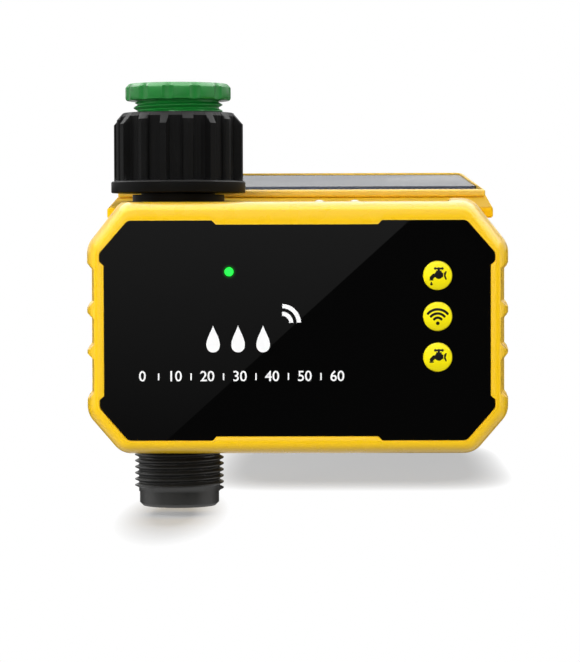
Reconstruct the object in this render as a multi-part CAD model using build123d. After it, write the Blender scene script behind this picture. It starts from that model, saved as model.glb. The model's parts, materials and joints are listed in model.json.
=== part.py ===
from build123d import *
import math
import os

# Solar tap timer: a motorised ball valve in a yellow case, hung from a tap by a swivel collar.
# Millimetres. Origin at the middle of the inlet's mouth. +Z up the valve axis to the tap,
# +X to the right of someone facing the front panel, -Y out of the front panel.

# ---------- driving sizes: inlet and outlet along the valve axis ----------
adapter_flange_radius = 15.65
adapter_flange_height = 5.0
adapter_grip_count = 12
adapter_grip_depth = 0.6
adapter_grip_groove = 3.2
adapter_grip_turn = -8.0
adapter_edge = 1.2
adapter_under_edge = 0.6
adapter_thread_shown = 3.6
adapter_bore_radius = 9.32
adapter_bore_length = 9.5
adapter_seal_radius = 9.7
adapter_passage_radius = 6.6

thread_crest_radius = 13.22
thread_root_radius = 12.06
thread_pitch = 1.814
thread_sink = 0.1

collar_radius = 19.5
collar_height = 23.7
collar_flange_radius = 19.95
collar_flange_height = 3.4
collar_top_radius = 16.4
collar_shoulder_height = 3.5
collar_rib_count = 8
collar_rib_width = 1.9
collar_rib_turn = -10.0
collar_bay_depth = 2.4
collar_ridge_height = 1.3
collar_ridge_width = 3.6
collar_edge = 0.4
collar_lip_thickness = 3.0

neck_shaft_radius = 11.0
neck_disc_radius = 13.65
neck_disc_height = 2.2
neck_disc_gap = 0.5
neck_plug_radius = 11.35
neck_plug_length = 24.0
neck_passage_radius = 7.0
ring_height = 1.2
ring_radius = 11.9
ring_groove_depth = 0.7
ring_gap_angle = 40.0
washer_thickness = 2.5
washer_hole_radius = 8.0
filter_thickness = 0.6
filter_slot_width = 0.8
o_ring_section = 1.8
neck_groove_rise = 3.5
filter_rim = 1.2

outlet_reach = 17.0
outlet_lead_radius = 11.8
outlet_lead_length = 4.3
outlet_lead_edge = 1.0
outlet_bore_radius = 8.6
outlet_flange_radius = 14.2
outlet_flange_height = 2.5
gasket_thickness = 1.2

# ---------- driving sizes: case ----------
bumper_half_width = 61.0
case_left_reach = 25.35
bumper_height = 73.9
bumper_rise = 1.2
bumper_top_chamfer = (10.5, 13.4)
bumper_bottom_chamfer = (9.9, 11.5)
bumper_corner_radius = 6.5
bumper_front_y = -30.0
bumper_back_y = -14.2
bumper_bevel_depth = 9.0
bumper_bevel_width = 3.9
bumper_bevel_steps = 12
bumper_wall = 5.7
top_recess_depth = 1.0
top_recess_margin = 17.1
side_recess_depth = 0.6
side_recess_front_depth = 2.8
side_recess_slope = 1.0
side_recess_spans = ((20.3, 29.6), (34.7, 42.0), (46.5, 56.1))

panel_thickness = 1.5
panel_setback = 0.8
panel_side_margin = 4.1
panel_top_margin = 6.4
panel_bottom_margin = 4.2
panel_chamfer = (8.2, 9.4)
panel_corner_radius = 2.0
panel_side_notch_half = 19.4
panel_side_notch_depth = 1.3
panel_edge_notch_half = 23.9
panel_edge_notch_depth = 1.2
panel_notch_slope = 1.1
panel_gap = 0.08
face_wall = 2.0

button_right_margin = 20.6
button_drops = (15.9, 27.65, 39.4)
button_names = ("water_on", "wireless", "water_off")
button_radius = 4.2
button_dome = 0.9
button_flange_radius = 4.9
button_flange_thickness = 0.8
button_travel = 0.5
led_x = 16.1
led_drop = 14.7
led_radius = 1.25
led_stand = 0.2
led_rim = 0.8
led_rim_thickness = 1.2
led_tail = 2.2
led_chip = (3.2, 2.0)

housing_wall = 2.4
housing_top_chamfer = (8.1, 11.0)
housing_bottom_chamfer = (4.0, 5.0)
housing_corner_radius = 3.0
case_gasket_thickness = 1.3
housing_back_y = 47.0
housing_shoulder_margin = 15.0
housing_back_edge = 1.2
roof_slope = 5.3
roof_front_y = -13.7
roof_back_y = 50.0
roof_side_margin = 4.5
roof_flare = 0.35
roof_shift = 0.65
roof_edge = 0.8
roof_thickness = 3.3
roof_corner = 6.0
roof_lip_depth = 3.0
roof_lip_wall = 2.0
shoulder_root = 14.0

plate_front_y = 21.0
plate_back_y = 50.0
plate_side_margin = 0.4
plate_taper = 5.75
plate_edge = 0.7
plate_slope = 11.6
plate_foot_inset = 3.0
plate_corner = 1.5
plate_lift = 2.35
plate_thickness = 2.3
plate_border = 1.1
plate_pocket_depth = 1.8
cell_thickness = 0.7
glass_thickness = 0.75

contact_radius = 1.95
contact_dome = 0.9
contact_shank_radius = 1.2
contact_shank_length = 7.0
contact_pitch = 10.5
contact_x = 11.5
contact_lift = 0.02

# ---------- driving sizes: water valve and its drive ----------
ball_radius = 10.0
ball_port_radius = 6.0
ball_drop = 72.0
chamber_radius = 15.0
chamber_half_height = 13.0
chamber_floor = 1.5
body_top_drop = 14.5
outlet_wall = 3.0
seat_reach = 6.5
seat_radius = 11.2
stem_radius = 4.0
stem_tongue_width = 3.0
stem_tongue_depth = 2.5
boss_radius = 8.0
boss_reach = 22.0
stem_groove_insets = (6.5, 3.0)
gear_module = 0.6
output_teeth = 36
second_teeth = 40
first_teeth = 36
pinion_teeth = 12
gear_backlash = 0.1
output_gear_width = 4.0
wheel_width = 2.4
pinion_extra = 0.6
gear_layer_gap = 0.8
second_axis_angle = -50.0
first_axis_angle = 35.0
motor_axis_angle = -40.0
axle_radius = 1.5
gearbox_wall = 1.8
gearbox_margin = 1.2
gearbox_screw_radius = 1.2
gearbox_screw_wall = 1.4
gearbox_screw_angles = (120.0, 215.0, 20.0)
screw_head_reach = 1.1
screw_head_height = 1.6
screw_slot_half = 0.3
screw_slot_depth = 0.7
motor_radius = 10.0
motor_flat = 7.5
motor_length = 25.0
motor_shaft_radius = 1.0
motor_boss_radius = 3.0
motor_boss_height = 1.6
motor_end_cap = 1.5

# ---------- driving sizes: electronics ----------
board_thickness = 1.6
board_left = 12.0
board_right_margin = 17.5
board_top_drop = 4.5
board_height = 47.5
board_screw_inset = 3.2
board_boss_radius = 2.8
board_screw_radius = 1.25
switch_size = 6.0
switch_height = 2.5
plunger_radius = 1.7
plunger_rise = 0.8
plunger_hold = 1.0
radio_size = (18.0, 3.2, 24.0)
radio_inset = 18.5
radio_base = 0.8
radio_edge = 1.0
radio_antenna = 6.0
capacitor_radius = 4.0
capacitor_height = 9.0
capacitor_insets = (11.5, 10.0)
small_capacitor_radius = 2.5
small_capacitor_height = 6.0
small_capacitor_insets = (22.0, 6.0)
chip_size = (8.0, 1.6, 8.0)
chip_insets = (14.0, 24.0)
coil_size = (6.0, 3.0, 6.0)
coil_insets = (34.0, 4.0)
battery_plug_size = (8.5, 6.5, 5.0)
battery_plug_insets = (16.0, 39.5)
motor_plug_size = (10.0, 6.5, 4.0)
motor_plug_insets = (54.0, 41.5)
battery_radius = 9.1
battery_length = 65.0
battery_y = 33.5
battery_drop = 51.5
battery_right_margin = 20.7
battery_nub_radius = 3.0
battery_nub = 1.0
holder_grip = 1.5
holder_wall = 1.5
holder_gap = 0.3
spring_plate = 0.5
spring_room = 2.0
case_screw_radius = 1.5
case_screw_head_radius = 2.9
case_screw_head = 2.0
cross_half_length = 1.8
cross_half_width = 0.35
cross_depth = 1.1
post_radius = 3.6
post_wall_gap = 0.3
post_corner_room = 2.5
case_screw_x = 14.8
case_screw_recess = 0.4
case_joint_y = 6.0
hook_pitch = 26.0
hook_y = -19.0
hook_length = 3.0
hook_height = 7.0
hook_depth = 1.2

# ---------- clearances ----------
running_gap = 0.05
sliding_gap = 0.1
fit_gap = 0.1
loose_gap = 0.3
thread_gap = 0.08

# ---------- levels along the valve axis, all below the mouth at zero ----------
flange_under = -adapter_flange_height
collar_top = flange_under - adapter_thread_shown
collar_bottom = collar_top - collar_height
lip_top = collar_bottom + collar_lip_thickness
ring_bottom = lip_top + running_gap
ring_top = ring_bottom + ring_height
neck_top = ring_top + ring_height
washer_top = neck_top + washer_thickness
adapter_end = washer_top + running_gap
adapter_seat = -adapter_bore_length - washer_thickness
disc_top = collar_bottom - neck_disc_gap
disc_bottom = disc_top - neck_disc_height
roof_top_at_axis = disc_bottom - neck_disc_gap
bumper_top = roof_top_at_axis + bumper_rise
bumper_bottom = bumper_top - bumper_height
outlet_end = bumper_bottom - outlet_reach
ball_z = -ball_drop
neck_plug_bottom = disc_bottom - neck_plug_length

# ---------- levels across ----------
case_centre_x = bumper_half_width - case_left_reach
case_right = case_centre_x + bumper_half_width
top_recess_half = bumper_half_width - top_recess_margin
panel_half_width = bumper_half_width - panel_side_margin
roof_centre_x = case_centre_x + roof_shift
roof_half_width = bumper_half_width - roof_side_margin
plate_half_width_front = roof_half_width - plate_side_margin
plate_half_width_back = plate_half_width_front - plate_taper
housing_shoulder_half_width = bumper_half_width - housing_shoulder_margin
button_x = case_right - button_right_margin
board_right = case_right - board_right_margin
battery_right = case_right - battery_right_margin

# ---------- levels front to back ----------
panel_front_y = bumper_front_y + panel_setback
panel_back_y = panel_front_y + panel_thickness
face_back_y = panel_back_y + face_wall
button_flange_front_y = face_back_y + sliding_gap
button_flange_back_y = button_flange_front_y + button_flange_thickness
switch_top_y = button_flange_back_y + plunger_rise
plunger_end_y = switch_top_y + plunger_hold
well_floor_y = plunger_end_y + button_travel + loose_gap
board_front_y = switch_top_y + switch_height
board_back_y = board_front_y + board_thickness
housing_front_y = face_back_y + case_gasket_thickness

housing_bottom = bumper_bottom + bumper_wall + fit_gap
housing_half_width = bumper_half_width - bumper_wall - fit_gap
housing_top = bumper_top - bumper_wall - fit_gap
housing_floor = housing_bottom + housing_wall


def roof_level(y):
    """Height of the roof slab's upper face at a depth y."""
    return roof_top_at_axis + y * math.tan(math.radians(roof_slope))


def plate_level(y):
    """Height of the solar plate's upper face at a depth y."""
    front_level = roof_level(plate_front_y) + plate_lift
    return front_level + (y - plate_front_y) * math.tan(math.radians(plate_slope))


# ---------- small helpers ----------
def at(x, y, z):
    return Location((x, y, z))


def upright(radius, bottom, top, x=0.0, y=0.0):
    """Cylinder along Z between two heights."""
    return at(x, y, (bottom + top) / 2) * Cylinder(radius, top - bottom)


def along_y(radius, front, back, x, z):
    """Cylinder along Y between two depths."""
    return at(x, (front + back) / 2, z) * Rot(90, 0, 0) * Cylinder(radius, back - front)


def along_x(radius, left, right, y, z):
    """Cylinder along X between two sides."""
    return at((left + right) / 2, y, z) * Rot(0, 90, 0) * Cylinder(radius, right - left)


def block(x_low, x_high, y_low, y_high, z_low, z_high):
    """Box between two corners."""
    size = (x_high - x_low, y_high - y_low, z_high - z_low)
    return at((x_low + x_high) / 2, (y_low + y_high) / 2, (z_low + z_high) / 2) * Box(*size)


def lathe(points):
    """Solid of revolution about Z from (radius, height) points."""
    return revolve(make_face(Polyline(*[(r, 0, z) for r, z in points], close=True)), Axis.Z)


def domed_lathe(radius, rise, shoulder, points):
    """Solid of revolution about Z: a dome that starts below a shoulder, then (radius, height) points."""
    sphere_radius = (radius ** 2 + rise ** 2) / 2 / rise
    half = radius / 2
    sag = sphere_radius - math.sqrt(sphere_radius ** 2 - half ** 2)
    pole = (0, 0, shoulder - rise)
    dome = ThreePointArc(pole, (half, 0, shoulder - rise + sag), (radius, 0, shoulder))
    sides = Polyline((radius, 0, shoulder), *[(r, 0, z) for r, z in points], pole)
    return revolve(make_face(dome.edges() + sides.edges()), Axis.Z)


def thread_ridge(bottom, turns):
    """Helical ridge of the pipe thread, with its first turn starting at a height."""
    helix = Helix(thread_pitch, turns * thread_pitch, thread_root_radius)
    start = Plane(origin=helix @ 0, x_dir=(1, 0, 0), z_dir=helix % 0)
    foot = 0.42 * thread_pitch
    crest = 0.08 * thread_pitch
    rise = thread_crest_radius - thread_root_radius
    profile = start * Polygon((-thread_sink, -foot), (rise, -crest), (rise, crest), (-thread_sink, foot),
                              align=None)
    return at(0, 0, bottom) * sweep(profile, path=helix, is_frenet=True)


def cut_corner_face(half, high, low, top_chamfer, bottom_chamfer, radius, y):
    """Face of a rectangle about the case's middle with cut and rounded corners, facing along Y."""
    top_x, top_z = top_chamfer
    low_x, low_z = bottom_chamfer
    points = [
        (-half + top_x, high), (half - top_x, high), (half, high - top_z), (half, low + low_z),
        (half - low_x, low), (-half + low_x, low), (-half, low + low_z), (-half, high - top_z),
    ]
    outline = FilletPolyline(*[(case_centre_x + x, y, z) for x, z in points], radius=radius, close=True)
    return make_face(outline.edges())


def shorter(chamfer, inset):
    """Corner cut of an outline that lies an inset inside another."""
    return tuple(leg - 0.41 * inset for leg in chamfer)


def bumper_section(inset, y):
    """Bumper outline at a depth, inset from its widest section."""
    return cut_corner_face(
        bumper_half_width - inset, bumper_top - inset, bumper_bottom + inset,
        shorter(bumper_top_chamfer, inset), shorter(bumper_bottom_chamfer, inset),
        bumper_corner_radius - inset, y)


def housing_solid(inset, front, back):
    """Prism of the housing outline, inset from its outside, between two depths."""
    sections = [
        cut_corner_face(
            housing_half_width - inset, housing_top - inset, housing_bottom + inset,
            shorter(housing_top_chamfer, inset), shorter(housing_bottom_chamfer, inset),
            housing_corner_radius - 0.8 * inset, y)
        for y in (front, back)]
    return loft(sections, ruled=True)


def panel_face(offset, y):
    """Face of the notched panel outline, grown by an offset."""
    half = panel_half_width + offset
    notched = half - panel_side_notch_depth
    high = bumper_top - panel_top_margin + offset
    low = bumper_bottom + panel_bottom_margin - offset
    middle = (high + low) / 2
    edge_high = high - panel_edge_notch_depth
    edge_low = low + panel_edge_notch_depth
    cx, cz = panel_chamfer
    side = panel_side_notch_half - offset
    edge = panel_edge_notch_half - offset
    s = panel_notch_slope / 2
    quarter = [
        (edge - s, edge_high), (edge + s, high), (half - cx, high), (half, high - cz),
        (half, middle + side + s), (notched, middle + side - s),
    ]
    lower = [
        (notched, middle - side + s), (half, middle - side - s), (half, low + cz), (half - cx, low),
        (edge + s, low), (edge - s, edge_low),
    ]
    right = quarter + lower
    left = [(-x, z) for x, z in reversed(right)]
    points = [(case_centre_x + x, y, z) for x, z in right + left]
    radii = [0.4, 0.4, panel_corner_radius, panel_corner_radius, 0.4, 0.4]
    radii = radii + radii[::-1]
    outline = FilletPolyline(*points, radius=radii + radii[::-1], close=True)
    return make_face(outline.edges())


def panel_solid(offset, front, back):
    """Prism of the panel outline between two depths."""
    return loft([panel_face(offset, front), panel_face(offset, back)], ruled=True)


def slab(half_front, half_back, y_front, y_back, level, thickness, corner):
    """Sloping slab whose upper face follows a level function, with cut rear corners."""
    plan = Polyline(
        (roof_centre_x - half_front, y_front, 0), (roof_centre_x + half_front, y_front, 0),
        (roof_centre_x + half_back, y_back - corner, 0), (roof_centre_x + half_back - corner, y_back, 0),
        (roof_centre_x - half_back + corner, y_back, 0), (roof_centre_x - half_back, y_back - corner, 0),
        close=True)
    prism = at(0, 0, -80) * extrude(make_face(plan), 80)
    side = Polyline(
        (roof_centre_x - 80, y_front, level(y_front) - thickness),
        (roof_centre_x - 80, y_back, level(y_back) - thickness),
        (roof_centre_x - 80, y_back, level(y_back)), (roof_centre_x - 80, y_front, level(y_front)),
        close=True)
    return prism & extrude(make_face(side), 160, dir=(1, 0, 0))


# ---------- inlet ----------
def make_reducer_adapter():
    """Green reducer: gripped flange, outer pipe thread and a smaller female thread bore."""
    flange = lathe([
        (adapter_passage_radius, flange_under),
        (adapter_flange_radius - adapter_under_edge, flange_under),
        (adapter_flange_radius, flange_under + adapter_under_edge),
        (adapter_flange_radius, -adapter_edge), (adapter_flange_radius - adapter_edge, 0),
        (adapter_passage_radius, 0)])
    for number in range(adapter_grip_count):
        centre = adapter_flange_radius + adapter_grip_groove - adapter_grip_depth
        notch = upright(adapter_grip_groove, flange_under - 1, 1, centre)
        flange -= Rot(0, 0, adapter_grip_turn + number * 360 / adapter_grip_count) * notch
    tube = upright(thread_root_radius, adapter_end, flange_under)
    turns = (flange_under - adapter_end) / thread_pitch - 1.1
    ridge = thread_ridge(adapter_end + 0.55 * thread_pitch, turns)
    body = flange + tube + ridge
    body -= upright(adapter_passage_radius, adapter_end - 1, 1)
    body -= upright(adapter_bore_radius, -adapter_bore_length, 1)
    return body - upright(adapter_seal_radius, adapter_seat, -adapter_bore_length)


def make_adapter_washer():
    """Flat seal on the shoulder inside the adapter."""
    washer = upright(adapter_seal_radius - loose_gap, adapter_seat, -adapter_bore_length)
    return washer - upright(adapter_passage_radius + loose_gap, adapter_seat - 1, 0)


def make_swivel_collar():
    """Black swivel nut with grip ribs, a bottom flange and an inward lip."""
    shoulder = collar_top - collar_shoulder_height
    flange_top = collar_bottom + collar_flange_height
    body = lathe([
        (0, collar_bottom), (collar_flange_radius - collar_edge, collar_bottom),
        (collar_flange_radius, collar_bottom + collar_edge), (collar_flange_radius, flange_top),
        (collar_radius, flange_top), (collar_radius, shoulder), (collar_top_radius, collar_top),
        (0, collar_top)])
    bay_angle = 360 / collar_rib_count
    half_bay = math.radians(bay_angle / 2) - math.asin(collar_rib_width / 2 / collar_radius)
    inner = collar_radius - collar_bay_depth
    ridge = inner + collar_ridge_height
    half_ridge = math.asin(collar_ridge_width / 2 / inner)
    for number in range(collar_rib_count):
        turn = math.radians(-90 + collar_rib_turn + (number + 0.5) * bay_angle)
        outer = collar_radius + 6
        points = []
        for reach, swing in ((inner, -half_bay), (inner, -half_ridge), (ridge, -half_ridge / 3),
                             (ridge, half_ridge / 3), (inner, half_ridge), (inner, half_bay),
                             (outer, half_bay), (outer, -half_bay)):
            points.append((reach * math.cos(turn + swing), reach * math.sin(turn + swing)))
        bay = extrude(make_face(Polyline(*points, close=True)), collar_height)
        body -= at(0, 0, flange_top) * bay
    body -= upright(thread_crest_radius + thread_gap, lip_top, collar_top + 1)
    body -= upright(neck_shaft_radius + running_gap, collar_bottom - 1, lip_top + 1)
    return body


def make_inlet_neck():
    """Black neck: plug into the valve body, disc on the roof, shaft that the collar turns on."""
    neck = lathe([
        (0, neck_plug_bottom), (neck_plug_radius, neck_plug_bottom), (neck_plug_radius, disc_bottom),
        (neck_disc_radius, disc_bottom), (neck_disc_radius, disc_top), (neck_shaft_radius, disc_top),
        (neck_shaft_radius, neck_top), (0, neck_top)])
    neck -= upright(neck_passage_radius, neck_plug_bottom - 1, neck_top + 1)
    neck -= upright(20, ring_bottom, ring_top) - upright(neck_shaft_radius - ring_groove_depth,
                                                         ring_bottom - 1, ring_top + 1)
    groove = neck_o_ring_level()
    half = o_ring_section / 2 + fit_gap
    neck -= upright(20, groove - half, groove + half) - upright(
        neck_plug_radius - o_ring_section, neck_plug_bottom - 1, disc_top)
    return neck


def neck_o_ring_level():
    return neck_plug_bottom + neck_groove_rise


def make_collar_ring():
    """Split retaining ring in the neck's groove, which holds the collar on."""
    ring = upright(ring_radius, ring_bottom, ring_top)
    ring -= upright(neck_shaft_radius - ring_groove_depth, ring_bottom - 1, ring_top + 1)
    half = math.radians(ring_gap_angle / 2)
    past = 2 * ring_radius
    gap = Polyline((0, 0), (past * math.cos(half), past * math.sin(half)),
                   (past * math.cos(half), -past * math.sin(half)), close=True)
    return ring - at(0, 0, ring_bottom - 1) * extrude(make_face(gap), ring_height + 2)


def make_neck_o_ring():
    """Square section seal ring between the neck and the valve body."""
    middle = neck_o_ring_level()
    ring = upright(neck_plug_radius + fit_gap, middle - o_ring_section / 2, middle + o_ring_section / 2)
    return ring - upright(neck_plug_radius - o_ring_section, middle - 5, middle + 5)


def make_collar_washer():
    """Flat rubber washer between the neck's top and the adapter's end."""
    washer = upright(thread_root_radius, neck_top, washer_top)
    washer -= upright(washer_hole_radius, neck_top - 1, washer_top + 1)
    return washer


def make_inlet_filter():
    """Round grid that keeps grit out, held inside the flat washer."""
    level = neck_top + washer_thickness / 2
    rim = washer_hole_radius - fit_gap / 2
    disc = upright(rim, level - filter_thickness / 2, level + filter_thickness / 2)
    pitch = 2 * filter_slot_width
    count = int((rim - filter_rim - filter_slot_width / 2) / pitch)
    for number in range(-count, count + 1):
        offset = number * pitch
        half = math.sqrt((rim - filter_rim) ** 2 - offset ** 2)
        disc -= block(-half, half, offset - filter_slot_width / 2, offset + filter_slot_width / 2,
                      level - 2, level + 2)
    return disc


# ---------- water way ----------
def make_valve_body():
    """Black water way: chamber round the ball, stem boss, and the threaded outlet below the case."""
    top = disc_bottom - body_top_drop
    chamber_low = ball_z - chamber_half_height
    seat_low = housing_floor + gasket_thickness
    body = lathe([
        (0, outlet_end), (outlet_lead_radius - outlet_lead_edge, outlet_end),
        (outlet_lead_radius, outlet_end + outlet_lead_edge),
        (outlet_lead_radius, outlet_end + outlet_lead_length),
        (thread_root_radius, outlet_end + outlet_lead_length),
        (thread_root_radius, seat_low), (outlet_flange_radius, seat_low),
        (outlet_flange_radius, seat_low + outlet_flange_height),
        (outlet_bore_radius + outlet_wall, seat_low + outlet_flange_height + 2),
        (outlet_bore_radius + outlet_wall, chamber_low - 3), (chamber_radius, chamber_low),
        (chamber_radius, top), (0, top)])
    room = housing_bottom - (outlet_end + outlet_lead_length)
    body += thread_ridge(outlet_end + outlet_lead_length + 0.45 * thread_pitch, room / thread_pitch - 1.0)
    body += along_x(boss_radius, 5, boss_reach, 0, ball_z)
    body -= upright(outlet_bore_radius, outlet_end - 1, ball_z)
    body -= upright(seat_radius, chamber_low + chamber_floor, ball_z + chamber_half_height)
    body -= upright(neck_plug_radius + fit_gap, neck_plug_bottom - fit_gap, top + 1)
    body -= along_x(stem_radius + running_gap, 0, boss_reach + 1, 0, ball_z)
    return body


def make_outlet_gasket():
    """Rubber ring that seals the outlet's hole in the case floor."""
    ring = upright(outlet_flange_radius - loose_gap, housing_floor, housing_floor + gasket_thickness)
    return ring - upright(thread_root_radius + fit_gap, housing_floor - 1, housing_floor + 5)


def make_ball_seats():
    """Two seat rings, hollowed to the ball, above and below it."""
    reach = neck_plug_bottom - ball_z - fit_gap
    floor = chamber_half_height - chamber_floor
    upper = upright(seat_radius - fit_gap, ball_z + seat_reach, ball_z + reach)
    lower = upright(seat_radius - fit_gap, ball_z - floor, ball_z - seat_reach)
    seats = []
    for seat in (upper, lower):
        seat -= upright(ball_port_radius, ball_z - 40, ball_z + 40)
        seat -= at(0, 0, ball_z) * Sphere(ball_radius + running_gap)
        seats.append(seat)
    return Compound(children=[s for seat in seats for s in seat.solids()])


def make_valve_ball():
    """Ball with its port across the flow at rest, so the valve is shut."""
    ball = at(0, 0, ball_z) * Sphere(ball_radius)
    ball -= along_y(ball_port_radius, -20, 20, 0, ball_z)
    slot = block(ball_radius - stem_tongue_depth, ball_radius + 5, -20, 20,
                 ball_z - stem_tongue_width / 2, ball_z + stem_tongue_width / 2)
    return ball - slot


def make_valve_stem():
    """Stem from the ball's slot out through the boss to the output gear, with two seal grooves."""
    end = gear_left + output_gear_width
    tongue_tip = ball_radius - stem_tongue_depth + sliding_gap
    start = ball_radius + loose_gap
    stem = along_x(stem_radius, start, end, 0, ball_z)
    half = stem_tongue_width / 2 - running_gap
    tongue = block(tongue_tip, start + 1, -stem_radius, stem_radius, ball_z - half, ball_z + half)
    stem += tongue & along_x(stem_radius - 0.3, tongue_tip - 1, start + 2, 0, ball_z)
    for middle in stem_groove_places():
        groove = along_x(20, middle - o_ring_section / 2, middle + o_ring_section / 2, 0, ball_z)
        stem -= groove - along_x(stem_radius - o_ring_section / 2, 0, end + 5, 0, ball_z)
    return stem


def stem_groove_places():
    return [boss_reach - inset for inset in stem_groove_insets]


def make_stem_o_rings():
    """Two seal rings in the stem's grooves."""
    rings = []
    for middle in stem_groove_places():
        half = o_ring_section / 2 - running_gap
        ring = along_x(stem_radius + running_gap / 2, middle - half, middle + half, 0, ball_z)
        rings.append(ring - along_x(stem_radius - o_ring_section / 2, middle - 5, middle + 5, 0, ball_z))
    return Compound(children=[s for ring in rings for s in ring.solids()])


# ---------- gear train ----------
gearbox_left = boss_reach
gear_left = gearbox_left + gearbox_wall + loose_gap
wheel_two_left = gear_left + output_gear_width + gear_layer_gap
wheel_one_left = wheel_two_left + wheel_width + pinion_extra + gear_layer_gap
gears_right = wheel_one_left + wheel_width + pinion_extra + gear_layer_gap
gearbox_right = gears_right + gearbox_wall


def pitch_radius(teeth):
    return gear_module * teeth / 2


def tip_radius(teeth):
    return pitch_radius(teeth) + 0.8 * gear_module


def step(centre, teeth_a, teeth_b, angle):
    """Centre of a gear that meshes with one at a centre, in the (y, z) plane."""
    reach = pitch_radius(teeth_a) + pitch_radius(teeth_b)
    return (centre[0] + reach * math.cos(math.radians(angle)),
            centre[1] + reach * math.sin(math.radians(angle)))


output_centre = (0.0, ball_z)
second_centre = step(output_centre, output_teeth, pinion_teeth, second_axis_angle)
first_centre = step(second_centre, second_teeth, pinion_teeth, first_axis_angle)
motor_centre = step(first_centre, first_teeth, pinion_teeth, motor_axis_angle)


def mesh_phase(teeth_a, phase_a, direction, teeth_b):
    """Angle of a tooth of gear b that sits in the gap of gear a, which lies in a direction."""
    share = (direction - phase_a) * teeth_a / 360
    return direction + 180 - (0.5 - share) * 360 / teeth_b


def gear_face(teeth, phase):
    """Spur gear outline with involute flanks, as a face in local X and Y."""
    pressure = math.radians(20)
    pitch = pitch_radius(teeth)
    base = pitch * math.cos(pressure)
    tip = tip_radius(teeth)
    root = pitch - gear_module
    half_tooth = math.pi / 2 / teeth - gear_backlash / 2 / pitch
    involute = math.tan(pressure) - pressure

    def flank(radius):
        if radius <= base:
            return half_tooth + involute
        lean = math.acos(base / radius)
        return half_tooth + involute - (math.tan(lean) - lean)

    low = max(root, base)
    levels = [root] + [low + (tip - low) * share for share in (0.0, 0.5, 1.0)]
    if low - root < 0.02:
        levels = levels[1:]
    points = []
    for number in range(teeth):
        middle = math.radians(phase) + 2 * math.pi * number / teeth
        for radius in levels:
            angle = middle - flank(radius)
            points.append((radius * math.cos(angle), radius * math.sin(angle)))
        for radius in reversed(levels):
            angle = middle + flank(radius)
            points.append((radius * math.cos(angle), radius * math.sin(angle)))
    return make_face(Polyline(*points, close=True))


def gear(teeth, phase, left, width, centre):
    """Spur gear with its axis along X."""
    plane = Plane(origin=(left, centre[0], centre[1]), x_dir=(0, 1, 0), z_dir=(1, 0, 0))
    return extrude(plane * gear_face(teeth, phase), width)


output_phase = 0.0
second_pinion_phase = mesh_phase(output_teeth, output_phase, second_axis_angle, pinion_teeth)
second_wheel_phase = 0.0
first_pinion_phase = mesh_phase(second_teeth, second_wheel_phase, first_axis_angle, pinion_teeth)
first_wheel_phase = 0.0
motor_pinion_phase = mesh_phase(first_teeth, first_wheel_phase, motor_axis_angle, pinion_teeth)


def make_output_gear():
    """Large gear fixed on the valve stem."""
    wheel = gear(output_teeth, output_phase, gear_left, output_gear_width, output_centre)
    wheel -= along_x(stem_radius, gear_left - 1, gear_left + output_gear_width + 1, 0, ball_z)
    return wheel


def compound_gear(wheel_teeth, wheel_phase, pinion_phase, wheel_left, pinion_left, centre):
    """Wheel with a smaller pinion on its left, turning on a fixed axle."""
    body = gear(wheel_teeth, wheel_phase, wheel_left, wheel_width, centre)
    body += gear(pinion_teeth, pinion_phase, pinion_left, wheel_left - pinion_left, centre)
    return body - along_x(axle_radius + running_gap, pinion_left - 1, wheel_left + wheel_width + 1, *centre)


def make_gear_axles():
    """Two steel axles between the gearbox's floor and cover."""
    axles = [along_x(axle_radius, gearbox_left + gearbox_wall / 2, gearbox_right - gearbox_wall / 2, *centre)
             for centre in (second_centre, first_centre)]
    return Compound(children=[s for axle in axles for s in axle.solids()])


def gear_circles(grow):
    circles = []
    for centre, teeth in ((output_centre, output_teeth), (second_centre, second_teeth),
                          (first_centre, first_teeth), (motor_centre, pinion_teeth)):
        circles.append((centre, tip_radius(teeth) + gearbox_margin + grow))
    return circles


def gearbox_prism(grow, left, right):
    """Prism round all the gears, grown by a wall."""
    plane = Plane(origin=(left, 0, 0), x_dir=(0, 1, 0), z_dir=(1, 0, 0))
    rings = [Pos(centre[0], centre[1]) * Circle(radius) for centre, radius in gear_circles(grow)]
    outline = make_hull([edge for ring in rings for edge in ring.edges()])
    return extrude(plane * outline, right - left)


def gearbox_screw_places():
    """Corners outside the gears where screws hold the cover, as (y, z)."""
    places = []
    for (centre, radius), angle in zip(gear_circles(gearbox_wall), gearbox_screw_angles):
        reach = radius + gearbox_screw_radius
        places.append((centre[0] + reach * math.cos(math.radians(angle)),
                       centre[1] + reach * math.sin(math.radians(angle))))
    return places


def make_gearbox_case():
    """Open tray round the gears, fixed to the valve body's boss."""
    tray = gearbox_prism(gearbox_wall, gearbox_left, gears_right)
    for y, z in gearbox_screw_places():
        tray += along_x(gearbox_screw_radius + gearbox_screw_wall, gearbox_left, gears_right, y, z)
    tray -= gearbox_prism(0, gearbox_left + gearbox_wall, gears_right + 1)
    tray -= along_x(stem_radius + fit_gap, gearbox_left - 1, gear_left + 1, 0, ball_z)
    for centre in (second_centre, first_centre):
        tray -= along_x(axle_radius, gearbox_left + gearbox_wall / 2, gears_right, *centre)
    for y, z in gearbox_screw_places():
        tray -= along_x(gearbox_screw_radius, gearbox_left + gearbox_wall, gears_right + 1, y, z)
    return tray


def make_gearbox_cover():
    """Flat cover that carries the motor."""
    cover = gearbox_prism(gearbox_wall, gears_right, gearbox_right)
    for y, z in gearbox_screw_places():
        cover += along_x(gearbox_screw_radius + gearbox_screw_wall, gears_right, gearbox_right, y, z)
        cover -= along_x(gearbox_screw_radius + fit_gap, gears_right - 1, gearbox_right + 1, y, z)
    for centre in (second_centre, first_centre):
        cover -= along_x(axle_radius, gears_right - 1, gearbox_right - gearbox_wall / 2, *centre)
    return cover - along_x(motor_boss_radius + fit_gap, gears_right - 1, gearbox_right + 1, *motor_centre)


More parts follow.
